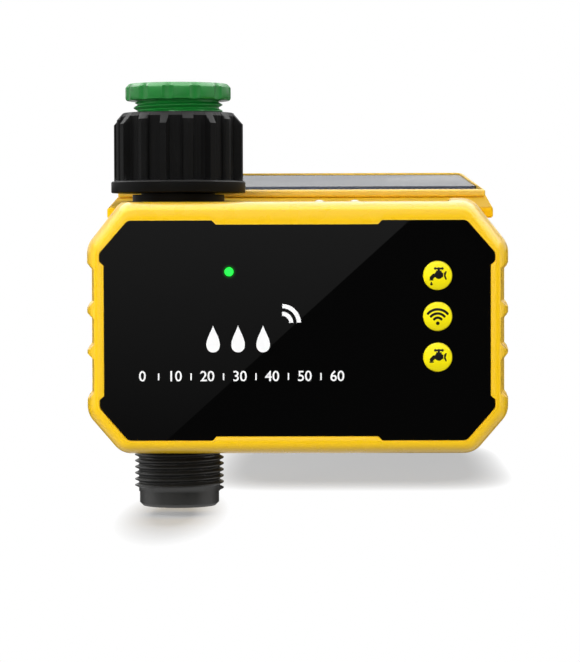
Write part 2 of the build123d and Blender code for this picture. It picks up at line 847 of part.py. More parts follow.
def make_gearbox_screws():
    """Pan head screws through the cover."""
    screws = []
    for y, z in gearbox_screw_places():
        shank = along_x(gearbox_screw_radius, gearbox_left + gearbox_wall + 1, gearbox_right, y, z)
        top = gearbox_right + screw_head_height
        head = along_x(gearbox_screw_radius + screw_head_reach, gearbox_right, top, y, z)
        slot = block(top - screw_slot_depth, top + 1, y - 5, y + 5, z - screw_slot_half, z + screw_slot_half)
        screws.append(shank + head - slot)
    return Compound(children=[s for screw in screws for s in screw.solids()])


def make_motor():
    """Small round motor with two flats and a front boss."""
    y, z = motor_centre
    can = along_x(motor_radius, gearbox_right, gearbox_right + motor_length, y, z)
    can &= block(gearbox_right - 1, gearbox_right + motor_length + 1, y - 30, y + 30,
                 z - motor_flat, z + motor_flat)
    can += along_x(motor_boss_radius, gearbox_right - motor_boss_height, gearbox_right + 1, y, z)
    end = gearbox_right + motor_length
    can += along_x(motor_boss_radius + 1, end - 1, end + motor_end_cap, y, z)
    return can - along_x(motor_shaft_radius + running_gap, gearbox_right - 5, end, y, z)


def make_motor_shaft():
    """Steel shaft of the motor, which carries its pinion."""
    return along_x(motor_shaft_radius, wheel_one_left, gearbox_right + motor_length - 1, *motor_centre)


def make_motor_pinion():
    """Pinion on the motor shaft."""
    pinion = gear(pinion_teeth, motor_pinion_phase, wheel_one_left, wheel_width, motor_centre)
    return pinion - along_x(motor_shaft_radius, wheel_one_left - 1, wheel_one_left + wheel_width + 1,
                            *motor_centre)


# ---------- front ----------
def button_places():
    return [(button_x, bumper_top - panel_top_margin - drop) for drop in button_drops]


def led_place():
    return led_x, bumper_top - panel_top_margin - led_drop


def board_box():
    top = bumper_top - panel_top_margin - board_top_drop
    return board_left, board_right, top - board_height, top


def board_screw_places():
    left, right, low, high = board_box()
    inset = board_screw_inset
    return [(left + inset, low + inset), (left + inset, high - inset),
            (right - inset, low + inset), (right - inset, high - inset)]


def side_recess_cutters():
    """Prisms with sloping ends that cut the recesses between the side bumps, deeper at the front."""
    cutters = []
    for near, far in side_recess_spans:
        for side in (-1, 1):
            faces = []
            for y, depth in ((bumper_back_y + 1, side_recess_depth),
                             (bumper_front_y - 1, side_recess_front_depth)):
                outer = case_centre_x + side * (bumper_half_width + 1)
                inner = case_centre_x + side * (bumper_half_width - depth)
                spread = side_recess_slope * (1 + depth)
                outline = Polyline(
                    (outer, y, bumper_top - near + spread), (outer, y, bumper_top - far - spread),
                    (inner, y, bumper_top - far), (inner, y, bumper_top - near), close=True)
                faces.append(make_face(outline))
            cutters.append(loft(faces, ruled=True))
    return cutters


def top_recess_cutter():
    """Prism that lowers the bumper's top from its left end to the sloping edge of its right pad."""
    back = bumper_back_y + 1
    spread = 1 + top_recess_half
    left_end = -bumper_half_width - 1
    points = [(left_end, bumper_top + 1), (spread + top_recess_depth, bumper_top + 1),
              (top_recess_half, bumper_top - top_recess_depth),
              (left_end, bumper_top - top_recess_depth)]
    outline = Polyline(*[(case_centre_x + x, back, z) for x, z in points], close=True)
    return extrude(make_face(outline), 40, dir=(0, -1, 0))


def make_front_shell():
    """Yellow bumper frame: rounded bevel, corner pads, side recesses, panel recess, face wall."""
    sections = [bumper_section(0, bumper_back_y)]
    for number in range(bumper_bevel_steps + 1):
        angle = math.pi / 2 * number / bumper_bevel_steps
        inset = bumper_bevel_width * (1 - math.cos(angle))
        y = bumper_front_y + bumper_bevel_depth * (1 - math.sin(angle))
        sections.append(bumper_section(inset, y))
    shell = loft(sections, ruled=True)
    for cutter in side_recess_cutters():
        shell -= cutter
    shell -= panel_solid(panel_gap, bumper_front_y - 1, panel_back_y)
    shell -= housing_solid(-fit_gap, face_back_y, bumper_back_y + 1)
    shell -= top_recess_cutter()
    for x, z in button_places():
        shell -= along_y(button_radius + sliding_gap, bumper_front_y, face_back_y + 1, x, z)
    x, z = led_place()
    shell -= along_y(led_radius + fit_gap / 2, bumper_front_y, face_back_y + 1, x, z)
    for x, z in board_screw_places():
        shell += along_y(board_boss_radius, face_back_y - 0.5, board_front_y, x, z)
        shell -= along_y(board_screw_radius, face_back_y, board_front_y + 1, x, z)
    for x, z in case_screw_places():
        shell += along_y(post_radius, face_back_y - 0.5, case_joint_y, x, z)
        shell -= along_y(case_screw_radius, face_back_y + 1, case_joint_y + 1, x, z)
    for level in hook_levels():
        shell += hook_block(0, level)
    return shell


def make_front_panel():
    """Black gloss plate with holes for the buttons and the status light."""
    panel = panel_solid(0, panel_front_y, panel_back_y)
    for x, z in button_places():
        panel -= along_y(button_radius + sliding_gap, panel_front_y - 1, panel_back_y + 1, x, z)
    x, z = led_place()
    return panel - along_y(led_radius + fit_gap / 2, panel_front_y - 1, panel_back_y + 1, x, z)


def make_button(x, z):
    """Domed push button with a flange behind the face wall."""
    shape = domed_lathe(button_radius, button_dome, panel_front_y, [
        (button_radius, button_flange_front_y), (button_flange_radius, button_flange_front_y),
        (button_flange_radius, button_flange_back_y), (0, button_flange_back_y)])
    return at(x, 0, z) * Rot(-90, 0, 0) * shape


def make_plunger(x, z):
    """Plunger of the tact switch, which the button rests on."""
    return along_y(plunger_radius, button_flange_back_y, plunger_end_y, x, z)


def make_tact_switches():
    """Three square switches on the board, each with a well for its plunger."""
    switches = []
    for x, z in button_places():
        half = switch_size / 2
        body = block(x - half, x + half, switch_top_y, board_front_y, z - half, z + half)
        body -= along_y(plunger_radius + running_gap, switch_top_y - 1, well_floor_y, x, z)
        switches.append(body)
    return Compound(children=[s for switch in switches for s in switch.solids()])


def make_led_lens():
    """Green light window through the panel and the face wall."""
    x, z = led_place()
    lens = along_y(led_radius, panel_front_y - led_stand, face_back_y + led_tail, x, z)
    return lens + along_y(led_radius + led_rim, face_back_y, face_back_y + led_rim_thickness, x, z)


def make_status_led():
    """Status light on the board behind its window."""
    x, z = led_place()
    width, height = led_chip
    return block(x - width / 2, x + width / 2, face_back_y + led_tail + fit_gap, board_front_y,
                 z - height / 2, z + height / 2)


def make_main_board():
    """Circuit board on four bosses behind the face wall."""
    left, right, low, high = board_box()
    board = block(left, right, board_front_y, board_back_y, low, high)
    for x, z in board_screw_places():
        board -= along_y(board_screw_radius + fit_gap, board_front_y - 1, board_back_y + 1, x, z)
    for x, z in case_screw_places():
        board -= along_y(post_radius + loose_gap, board_front_y - 1, board_back_y + 1, x, z)
    return board


def make_board_screws():
    """Four screws that hold the board."""
    screws = []
    for x, z in board_screw_places():
        shank = along_y(board_screw_radius, face_back_y + loose_gap, board_back_y, x, z)
        top = board_back_y + screw_head_height
        head = along_y(board_screw_radius + screw_head_reach, board_back_y, top, x, z)
        slot = block(x - 5, x + 5, top - screw_slot_depth, top + 1, z - screw_slot_half, z + screw_slot_half)
        screws.append(shank + head - slot)
    return Compound(children=[s for screw in screws for s in screw.solids()])


def make_radio_module():
    """Shielded radio module with its bare antenna end, on the board's back."""
    left, right, low, high = board_box()
    width, depth, height = radio_size
    x = right - radio_inset - width
    foot = high - 2 - height
    base_back = board_back_y + radio_base
    base = block(x, x + width, board_back_y, base_back, foot, foot + height)
    can = block(x + radio_edge, x + width - radio_edge, base_back, board_back_y + depth,
                foot + radio_edge, foot + height - radio_antenna)
    return base + can


def make_board_parts():
    """Capacitors, charge chip, coil and plug sockets on the board's back."""
    left, right, low, high = board_box()
    y = board_back_y
    pieces = []
    for radius, height, insets in ((capacitor_radius, capacitor_height, capacitor_insets),
                                   (small_capacitor_radius, small_capacitor_height, small_capacitor_insets)):
        pieces.append(along_y(radius, y, y + height, right - insets[0], low + insets[1]))
    for size, insets in ((chip_size, chip_insets), (coil_size, coil_insets),
                         (battery_plug_size, battery_plug_insets), (motor_plug_size, motor_plug_insets)):
        x, z = right - insets[0], low + insets[1]
        pieces.append(block(x, x + size[0], y, y + size[1], z, z + size[2]))
    return Compound(children=[s for piece in pieces for s in piece.solids()])


# ---------- rear housing and roof ----------
def case_screw_places():
    """Two screws at the right side and one low in the middle, as (x, z)."""
    side = case_centre_x + housing_half_width - housing_wall - post_radius - post_wall_gap
    low = housing_bottom + housing_bottom_chamfer[1] + post_radius + post_corner_room
    high = housing_top - housing_top_chamfer[1] - post_corner_room
    return [(side, low), (side, high),
            (case_centre_x + case_screw_x, housing_floor + post_radius + post_wall_gap)]


def hook_levels():
    """Heights of the two hooks at the left side, which has no screws."""
    middle = (housing_top + housing_bottom) / 2
    return (middle - hook_pitch / 2, middle + hook_pitch / 2)


def hook_block(grow, level):
    """Catch on the front shell's left wall, or its slot in the housing with some growth."""
    wall = case_centre_x - housing_half_width
    return block(wall - fit_gap - 0.2, wall + hook_depth + grow, hook_y - hook_length / 2 - grow,
                 hook_y + hook_length / 2 + grow, level - hook_height / 2 - grow,
                 level + hook_height / 2 + grow)


def shoulder_prism(inset, y_front, y_back, drop):
    """Upper part of the housing, under the sloping roof."""
    half = housing_shoulder_half_width - inset
    under = roof_thickness + drop
    side = Polyline(
        (case_centre_x - half, y_front, housing_top - shoulder_root),
        (case_centre_x - half, y_back, housing_top - shoulder_root),
        (case_centre_x - half, y_back, roof_level(y_back) - under),
        (case_centre_x - half, y_front, roof_level(y_front) - under), close=True)
    return extrude(make_face(side), 2 * half, dir=(1, 0, 0))


def make_rear_housing():
    """Yellow tub behind the bumper, open at the front and under the roof."""
    tub = housing_solid(0, housing_front_y, housing_back_y)
    tub = fillet(tub.edges().group_by(Axis.Y)[-1], housing_back_edge)
    tub += shoulder_prism(0, roof_front_y, housing_back_y, 0)
    tub -= housing_solid(housing_wall, housing_front_y - 1, housing_back_y - housing_wall)
    tub -= shoulder_prism(housing_wall, roof_front_y + housing_wall, housing_back_y - housing_wall, -1)
    for x, z in case_screw_places():
        post = along_y(post_radius, case_joint_y, housing_back_y - 1, x, z)
        post -= along_y(case_screw_radius + fit_gap, case_joint_y - 1, housing_back_y + 1, x, z)
        tub += post
        tub -= along_y(case_screw_radius + fit_gap, case_joint_y - 1, housing_back_y + 1, x, z)
        tub -= along_y(case_screw_head_radius + fit_gap, housing_back_y - case_screw_head - case_screw_recess,
                       housing_back_y + 1, x, z)
    tub -= upright(thread_crest_radius + fit_gap, housing_bottom - 1, housing_floor + 1)
    tub -= upright(neck_disc_radius, housing_top - 5, disc_bottom)
    for level in hook_levels():
        tub -= hook_block(fit_gap, level)
    return tub


def make_case_screws():
    """Long screws from the back into the front shell's posts."""
    screws = []
    for x, z in case_screw_places():
        head_back = housing_back_y - case_screw_recess
        head = along_y(case_screw_head_radius, head_back - case_screw_head, head_back, x, z)
        shank = along_y(case_screw_radius, face_back_y + 2, head_back - case_screw_head, x, z)
        screw = head + shank
        for half_x, half_z in ((cross_half_length, cross_half_width), (cross_half_width, cross_half_length)):
            screw -= block(x - half_x, x + half_x, head_back - cross_depth, head_back + 1,
                           z - half_z, z + half_z)
        screws.append(screw)
    return Compound(children=[s for screw in screws for s in screw.solids()])


def make_case_gasket():
    """Rubber seal between the face wall and the housing's front rim."""
    ring = housing_solid(loose_gap, face_back_y, housing_front_y)
    return ring - housing_solid(housing_wall - loose_gap, face_back_y - 1, housing_front_y + 1)


def make_roof_lid():
    """Yellow sloping slab over the housing, with an eave all round and a lip that drops inside."""
    lid = slab(roof_half_width, roof_half_width + roof_flare, roof_front_y, roof_back_y, roof_level,
               roof_thickness, roof_corner)
    lid = fillet(lid.edges(), roof_edge)
    lip_gap = housing_wall + loose_gap
    lip = shoulder_prism(lip_gap, roof_front_y + lip_gap, housing_back_y - lip_gap, 0)
    lip -= shoulder_prism(lip_gap + roof_lip_wall, roof_front_y + lip_gap + roof_lip_wall,
                          housing_back_y - lip_gap - roof_lip_wall, -2)
    low = block(case_centre_x - 70, case_centre_x + 70, roof_front_y - 1, roof_back_y + 1, -140,
                housing_top - shoulder_root + fit_gap)
    lip -= low
    lip -= shoulder_prism(0, roof_front_y - 1, roof_back_y + 1, roof_lip_depth)
    lip -= upright(neck_disc_radius + 6, housing_top - 40, 0)
    lid += lip
    lid -= upright(neck_plug_radius + fit_gap, housing_top - 20, 0)
    lid -= upright(neck_disc_radius + loose_gap, roof_top_at_axis, 0)
    for x in contact_places():
        lid -= upright(contact_shank_radius + fit_gap / 2, roof_level(0) - 20, 0, x, 0)
    return lid


def contact_places():
    middle = case_centre_x + contact_x
    return (middle - contact_pitch / 2, middle + contact_pitch / 2)


def make_rain_contacts():
    """Two domed metal studs through the roof, which water bridges when it rains."""
    studs = []
    for x in contact_places():
        level = roof_level(contact_radius) + contact_lift
        stud = domed_lathe(contact_radius, contact_dome, -level, [
            (contact_shank_radius, -level), (contact_shank_radius, contact_shank_length - level),
            (0, contact_shank_length - level)])
        studs.append(at(x, 0, 0) * Rot(180, 0, 0) * stud)
    return Compound(children=[s for stud in studs for s in stud.solids()])


# ---------- battery ----------
def battery_span():
    """Left and right ends of the cell."""
    return battery_right - battery_length, battery_right


def make_battery_cell():
    """Round rechargeable cell with its raised end at the right."""
    left, right = battery_span()
    shoulder = right - battery_nub
    can = along_x(battery_radius, left, shoulder, battery_y, -battery_drop)
    return can + along_x(battery_nub_radius, shoulder - 0.1, right, battery_y, -battery_drop)


def make_battery_holder():
    """Trough under the cell with end walls, screwed to the housing's rear wall."""
    left, right = battery_span()
    outer = battery_radius + holder_gap + holder_wall
    x_low, x_high = left - spring_room - holder_wall, right + spring_room + holder_wall
    back = housing_back_y - housing_wall
    tray = along_x(outer, x_low, x_high, battery_y, -battery_drop)
    tray += block(x_low, x_high, battery_y, back, -battery_drop - outer, -battery_drop)
    tray -= block(x_low - 1, x_high + 1, 0, back + 5, -battery_drop + holder_grip, 0)
    return tray - along_x(battery_radius + holder_gap, left - spring_room, right + spring_room,
                          battery_y, -battery_drop)


def make_battery_contacts():
    """Spring plate at each end of the cell, pressed to the holder's end walls."""
    left, right = battery_span()
    pieces = []
    for wall, side, tip in ((left - spring_room, 1, left), (right + spring_room, -1, right)):
        inner = wall + side * spring_plate
        plate = along_x(battery_radius - 2, min(wall, inner), max(wall, inner), battery_y, -battery_drop)
        plate &= block(-200, 200, 0, 90, -battery_drop - 20, -battery_drop + holder_grip)
        nose = Rot(0, 90 * side, 0) * Cone(3.2, 1.6, abs(tip - inner))
        plate += at((tip + inner) / 2, battery_y, -battery_drop) * nose
        pieces.append(plate)
    return Compound(children=[s for piece in pieces for s in piece.solids()])


# ---------- solar plate ----------
def make_solar_frame():
    """Tilted yellow plate with a pocket for the cells and a wedge foot on the roof."""
    plate = slab(plate_half_width_front, plate_half_width_back, plate_front_y, plate_back_y, plate_level,
                 plate_thickness, plate_corner)
    plate = fillet(plate.edges(), plate_edge)
    inset = plate_foot_inset
    foot = slab(plate_half_width_front - inset, plate_half_width_back - inset, plate_front_y + inset,
                plate_back_y - inset, plate_level, 20, plate_corner)
    side = Polyline(
        (case_centre_x - 80, plate_front_y, roof_level(plate_front_y)),
        (case_centre_x - 80, plate_back_y, roof_level(plate_back_y)),
        (case_centre_x - 80, plate_back_y, 30), (case_centre_x - 80, plate_front_y, 30), close=True)
    foot &= extrude(make_face(side), 160, dir=(1, 0, 0))
    frame = plate + foot
    return frame - solar_pocket(0, plate_pocket_depth, -5)


def solar_pocket(gap, bottom, top):
    """Sloping slab inside the plate's border, between two depths below its face."""
    inner = slab(plate_half_width_front - plate_border - gap, plate_half_width_back - plate_border - gap,
                 plate_front_y + plate_border + gap, plate_back_y - plate_border - gap,
                 lambda y: plate_level(y) - top, bottom - top, 1.0)
    return inner


parts = {
    "reducer_adapter": make_reducer_adapter(),
    "adapter_washer": make_adapter_washer(),
    "swivel_collar": make_swivel_collar(),
    "collar_ring": make_collar_ring(),
    "collar_washer": make_collar_washer(),
    "inlet_filter": make_inlet_filter(),
    "inlet_neck": make_inlet_neck(),
    "neck_o_ring": make_neck_o_ring(),
    "valve_body": make_valve_body(),
    "outlet_gasket": make_outlet_gasket(),
    "ball_seats": make_ball_seats(),
    "valve_ball": make_valve_ball(),
    "valve_stem": make_valve_stem(),
    "stem_o_rings": make_stem_o_rings(),
    "output_gear": make_output_gear(),
    "second_gear": compound_gear(second_teeth, second_wheel_phase, second_pinion_phase, wheel_two_left,
                                 gear_left, second_centre),
    "first_gear": compound_gear(first_teeth, first_wheel_phase, first_pinion_phase, wheel_one_left,
                                wheel_two_left, first_centre),
    "gear_axles": make_gear_axles(),
    "gearbox_case": make_gearbox_case(),
    "gearbox_cover": make_gearbox_cover(),
    "gearbox_screws": make_gearbox_screws(),
    "motor": make_motor(),
    "motor_shaft": make_motor_shaft(),
    "motor_pinion": make_motor_pinion(),
    "front_shell": make_front_shell(),
    "front_panel": make_front_panel(),
    "led_lens": make_led_lens(),
    "status_led": make_status_led(),
    "tact_switches": make_tact_switches(),
    "main_board": make_main_board(),
    "board_screws": make_board_screws(),
    "board_parts": make_board_parts(),
    "radio_module": make_radio_module(),
    "rear_housing": make_rear_housing(),
    "case_gasket": make_case_gasket(),
    "case_screws": make_case_screws(),
    "battery_cell": make_battery_cell(),
    "battery_holder": make_battery_holder(),
    "battery_contacts": make_battery_contacts(),
    "roof_lid": make_roof_lid(),
    "rain_contacts": make_rain_contacts(),
    "solar_frame": make_solar_frame(),
    "solar_cells": solar_pocket(0.05, plate_pocket_depth, plate_pocket_depth - cell_thickness),
    "solar_glass": solar_pocket(0.05, plate_pocket_depth - cell_thickness,
                                plate_pocket_depth - cell_thickness - glass_thickness),
}
for name, (x, z) in zip(button_names, button_places()):
    parts[name + "_button"] = make_button(x, z)
    parts[name + "_plunger"] = make_plunger(x, z)

os.makedirs("parts", exist_ok=True)
for name, part in parts.items():
    export_step(part, "parts/" + name + ".step")
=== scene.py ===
"""Irrigation controller: smooth skins, grips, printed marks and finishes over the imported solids."""
import json
import math

import bmesh
import bpy
import numpy as np
from mathutils import Matrix, Vector

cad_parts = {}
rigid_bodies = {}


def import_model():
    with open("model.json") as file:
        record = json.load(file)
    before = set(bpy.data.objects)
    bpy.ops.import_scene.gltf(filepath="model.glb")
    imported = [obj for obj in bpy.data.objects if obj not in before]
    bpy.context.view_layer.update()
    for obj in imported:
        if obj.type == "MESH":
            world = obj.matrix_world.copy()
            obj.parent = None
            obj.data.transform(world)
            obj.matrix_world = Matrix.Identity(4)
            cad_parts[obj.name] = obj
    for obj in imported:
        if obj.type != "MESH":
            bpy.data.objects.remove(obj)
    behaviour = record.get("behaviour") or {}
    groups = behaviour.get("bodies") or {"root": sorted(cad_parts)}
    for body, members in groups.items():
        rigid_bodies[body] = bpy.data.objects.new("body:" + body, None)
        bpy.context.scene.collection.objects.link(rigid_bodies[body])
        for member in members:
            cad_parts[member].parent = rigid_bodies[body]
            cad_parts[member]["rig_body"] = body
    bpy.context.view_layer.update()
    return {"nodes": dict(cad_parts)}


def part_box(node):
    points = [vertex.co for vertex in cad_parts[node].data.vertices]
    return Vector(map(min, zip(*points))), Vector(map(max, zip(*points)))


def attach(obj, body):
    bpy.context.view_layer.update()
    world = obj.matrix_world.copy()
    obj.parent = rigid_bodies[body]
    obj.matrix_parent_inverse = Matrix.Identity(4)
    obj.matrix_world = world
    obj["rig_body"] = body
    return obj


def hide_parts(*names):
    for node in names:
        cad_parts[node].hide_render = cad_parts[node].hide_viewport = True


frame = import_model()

MM = 0.001
TAU = 2 * math.pi


# ---------- sizes in millimetres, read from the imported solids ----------
def span(node):
    """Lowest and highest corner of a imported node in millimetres."""
    low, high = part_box(node)
    return np.array(low) / MM, np.array(high) / MM


SHELL_LOW, SHELL_HIGH = span("front_shell")
PANEL_LOW, PANEL_HIGH = span("front_panel")
COLLAR_LOW, COLLAR_HIGH = span("swivel_collar")
ADAPTER_LOW, ADAPTER_HIGH = span("reducer_adapter")
BODY_LOW, _ = span("valve_body")
GLASS_LOW, _ = span("solar_glass")
LED_LOW, LED_HIGH = span("led_lens")
CENTRE_X = (SHELL_LOW[0] + SHELL_HIGH[0]) / 2
CENTRE_Z = (SHELL_LOW[2] + SHELL_HIGH[2]) / 2
HALF_WIDTH = (SHELL_HIGH[0] - SHELL_LOW[0]) / 2
SHELL_TOP = SHELL_HIGH[2]
SHELL_BOTTOM = SHELL_LOW[2]
LED_X = (LED_LOW[0] + LED_HIGH[0]) / 2
LED_Z = (LED_LOW[2] + LED_HIGH[2]) / 2

# ---------- driving sizes in millimetres, and turns in degrees ----------
# The bumper: its skin stands a hair over the solid, so that the solid never shows through.
SKIN = 0.06
BUMPER_BACK = -14.2
TOP_CUT = (10.5, 13.4)
BOTTOM_CUT = (9.9, 11.5)
CORNER_RADIUS = 6.5
CORNER_STEPS = 24
BEVEL_WIDTH = 3.9
BEVEL_DEPTH = 9.0
BEVEL_STEPS = 15
RIM_SPACING = 0.55
NOTCH_SPACING = 0.9
TOP_RECESS_DEPTH = 1.0
TOP_RECESS_HALF = 43.9
SIDE_RECESS_DEPTH = (0.6, 2.8)
SIDE_RECESS_SPANS = ((20.3, 29.6), (34.7, 42.0), (46.5, 56.1))
INNER_INSET = 4.4
INNER_REACH = 3.0

# The panel's outline: cut corners, and a shallow notch in the middle of each side.
PANEL_GAP = 0.08
PANEL_CUT = (8.2, 9.4)
NOTCH_DEPTH = (1.3, 1.2)
NOTCH_HALF = (23.9, 19.4)
NOTCH_LEAN = 0.55
NOTCH_RADIUS = 0.4
PANEL_RADIUS = 2.0

# The adapter: a thread below a flange with grip grooves, round a stepped bore.
THREAD_PITCH = 1.814
THREAD_CREST = 13.22
THREAD_ROOT = 12.06
THREAD_TIP_SHARE = 0.08
THREAD_FOOT_SHARE = 0.42
FLANGE_HEIGHT = 5.0
TAP_BORE = 9.32
TAP_DEPTH = 12.0
WATER_BORE = 6.6
GRIP_COUNT = 12
GRIP_TURN = -8.0
GRIP_DEPTH = 0.6
GRIP_GROOVE = 3.2
ADAPTER_COLUMNS = 480

# The collar: eight ribs, with a low ridge in each bay between them.
COLLAR_RADIUS = 19.5
COLLAR_FLANGE = 19.95
COLLAR_SHOULDER = 3.5
COLLAR_FLANGE_HEIGHT = 3.4
COLLAR_MOUTH = 13.3
COLLAR_TOP_RADIUS = 16.5
COLLAR_BORE = 11.05
RIB_COUNT = 8
RIB_TURN = -10.0
RIB_HALF = 0.95
BAY_DEPTH = 2.4
RIDGE_HEIGHT = 1.3
RIDGE_HALF = 1.8
FLUTE_DEPTH = 0.08
COLLAR_COLUMNS = 960

# The keys, the solar plate's seam and the printed marks.
KEY_RADIUS = 4.2
KEY_FLANGE = 4.9
KEY_DOME = 0.9
KEY_COLUMNS = 96
EDGE_BLUR = 0.02
MARK_GROWTH = 0.012
SEAM_REACH = 4.2
SEAM_HALF = 2.4
FINGER_PITCH = 1.6
MARK_THICKNESS = 0.02
DROP_LEFT = CENTRE_X - 24.2
DROP_PITCH = 7.2
DROP_Z = -74.7
DROP_HEIGHT = 7.8
ARC_FOOT = (CENTRE_X - 4.4, -70.2)
ARC_RADII = (2.7, 4.9)
ARC_HALF = 0.6
SCALE_Z = -85.6
SCALE_LEFT = CENTRE_X - 44.6
SCALE_PITCH = 9.35
NUMERAL_SIZE = 4.2
NUMERAL_GROWTH = 0.04
TICK_HALF = (0.2, 1.0)

# The floor's shadow: a band behind the case and a spot under the outlet, as (x, y) in millimetres.
FLOOR_Z = BODY_LOW[2] - 3.0
BAND_MIDDLE = (54.0, 190.0)
BAND_REACH = (52.0, 105.0)
BAND_SHARE = 0.6
SPOT_MIDDLE = (-2.0, 0.0)
SPOT_REACH = (11.0, 60.0)
SPOT_SHARE = 0.72

# The camera, and the cards: a slanted one makes the sheen's line, between two points of the panel.
CAMERA = (CENTRE_X + 12.6, -862.8, -45.8)
CAMERA_LENS = 157.70393
CAMERA_TURN = (1.007, -1.833, -0.152)
CARD_Y = -1500.0
SHEEN_TOP = 300.0
SHEEN_FOOT = -700.0
SHEEN_LEFT = -1200.0
SHEEN_LEVELS = (0.07, 0.25)
SHEEN_UPPER_END = (32.2, -40.9)
SHEEN_LOWER_END = (-37.5, -103.8)
CARD_HEIGHT = 420.0
FLAG_Y = 700.0
FLAG_LEVEL = 0.07
PANEL_FLAG_LEVEL = 0.012
GLOW_SPAN = (-0.6, 0.7)
GLOW_BELOW = 0.38
GLOW_ABOVE = 0.08


# ---------- shader maths ----------
class Wire:
    """A node socket that adds Math nodes when it is used in an expression."""

    def __init__(self, look, socket):
        self.look = look
        self.socket = socket

    def maths(self, operation, *values):
        return self.look.node("ShaderNodeMath", {"operation": operation}, values)

    def __add__(self, other):
        return self.maths("ADD", self, other)

    def __sub__(self, other):
        return self.maths("SUBTRACT", self, other)

    def __rsub__(self, other):
        return self.maths("SUBTRACT", other, self)

    def __mul__(self, other):
        return self.maths("MULTIPLY", self, other)

    def __truediv__(self, other):
        return self.maths("DIVIDE", self, other)

    def __pow__(self, other):
        return self.maths("POWER", self, other)

    __radd__ = __add__
    __rmul__ = __mul__

    def abs(self):
        return self.maths("ABSOLUTE", self)

    def root(self):
        return self.maths("SQRT", self)

    def sine(self):
        return self.maths("SINE", self)

    def least(self, other):
        return self.maths("MINIMUM", self, other)

    def most(self, other):
        return self.maths("MAXIMUM", self, other)

    def clamp(self):
        return self.look.node("ShaderNodeClamp", {}, (self,))

    def inside(self, edge, blur):
        """1 where the value is under an edge, 0 over it, with a soft step."""
        return ((edge - self) / blur + 0.5).clamp()


class Look:
    """One material with a Principled shader, built from expressions."""

    def __init__(self, name, **constants):
        self.material = bpy.data.materials.new(name)
        self.material.use_nodes = True
        self.tree = self.material.node_tree
        self.shader = self.tree.nodes["Principled BSDF"]
        for key, value in constants.items():
            self.shader.inputs[key.replace("_", " ")].default_value = value
        coordinate = self.tree.nodes.new("ShaderNodeTexCoord")
        self.place = Wire(self, coordinate.outputs["Object"])

    def node(self, kind, settings, values, output=0):
        """Adds a node of a type, with its settings first and then its socket values or links."""
        node = self.tree.nodes.new(kind)
        for key, value in settings.items():
            setattr(node, key, value)
        pairs = values.items() if isinstance(values, dict) else enumerate(values)
        for key, value in pairs:
            if isinstance(value, Wire):
                self.tree.links.new(value.socket, node.inputs[key])
            else:
                node.inputs[key].default_value = value
        return Wire(self, node.outputs[output])

    def axes(self):
        """The x, y and z of the surface point in millimetres."""
        node = self.tree.nodes.new("ShaderNodeSeparateXYZ")
        self.tree.links.new(self.place.socket, node.inputs[0])
        return [Wire(self, out) * (1 / MM) for out in node.outputs]

    def noise(self, size_mm, detail=3.0, roughness=0.5):
        """Soft noise from 0 to 1 with features of a size in millimetres."""
        return self.node("ShaderNodeTexNoise", {}, {
            "Vector": self.place, "Scale": 1 / (size_mm * MM), "Detail": detail, "Roughness": roughness})

    def mix(self, factor, first, second):
        """Colour between two colours."""
        return self.node("ShaderNodeMix", {"data_type": "RGBA"}, {0: factor, 6: first, 7: second}, 2)

    def feed(self, socket, wire):
        self.tree.links.new(wire.socket, self.shader.inputs[socket])

    def crevice(self, reach_mm):
        """1 on open faces, falling to 0 where other surfaces close in within a reach."""
        return self.node("ShaderNodeAmbientOcclusion", {"samples": 8}, {"Distance": reach_mm * MM}, 1)

    def bump(self, height, distance_mm, strength=1.0):
        """Surface relief from a height, at a depth in millimetres."""
        relief = self.node("ShaderNodeBump", {}, {
            "Strength": strength, "Distance": distance_mm * MM, "Height": height})
        self.feed("Normal", relief)


def tint(red, green, blue):
    """Linear colour from display values of 0 to 255."""
    def linear(value):
        share = value / 255
        return share / 12.92 if share <= 0.04045 else ((share + 0.055) / 1.055) ** 2.4
    return (linear(red), linear(green), linear(blue), 1.0)


def moulded(name, colour, roughness, grain_mm=0.25, relief_mm=0.006, spread=0.06, **constants):
    """Moulded plastic: a faint cloud in its colour, uneven gloss and a fine eroded grain."""
    look = Look(name, **constants)
    cloud = look.noise(18.0)
    dark = tuple(channel * (1 - spread) for channel in colour[:3]) + (1.0,)
    light = tuple(min(1.0, channel * (1 + spread)) for channel in colour[:3]) + (1.0,)
    look.feed("Base Color", look.mix(cloud, dark, light))
    look.feed("Roughness", look.noise(6.0) * 0.12 + (roughness - 0.06))
    look.bump(look.noise(grain_mm, 2.0), relief_mm)
    return look


def metal(name, colour, roughness, grain_mm=0.4):
    """Machined metal with fine turning marks."""
    look = Look(name, Metallic=1.0)
    mark = look.noise(grain_mm, 4.0)
    look.feed("Base Color", look.mix(mark, tuple(c * 0.86 for c in colour[:3]) + (1.0,), colour))
    look.feed("Roughness", mark * 0.15 + (roughness - 0.07))
    look.bump(mark, 0.004)
    return look


def case_look(name, open_colour, occluded_colour, roughness, specular=0.5):
    """Yellow case plastic, with painted shade: its colour turns towards a second colour where parts close in
    on it.
    """
    look = Look(name, Specular_IOR_Level=specular)
    cloud = look.noise(22.0)
    clouded = look.mix(cloud, tuple(c * 0.97 for c in open_colour[:3]) + (1.0,), open_colour)
    # Painted shade: ambient occlusion mixes the colour towards the occluded colour in creases, recesses and
    # under other parts.
    painted_occlusion = ((0.8 - look.crevice(9.0)) / 0.55).clamp()
    look.feed("Base Color", look.mix(painted_occlusion, clouded, occluded_colour))
    look.feed("Roughness", look.noise(6.0) * 0.1 + (roughness - 0.05))
    look.bump(look.noise(0.3, 2.0), 0.004)
    return look
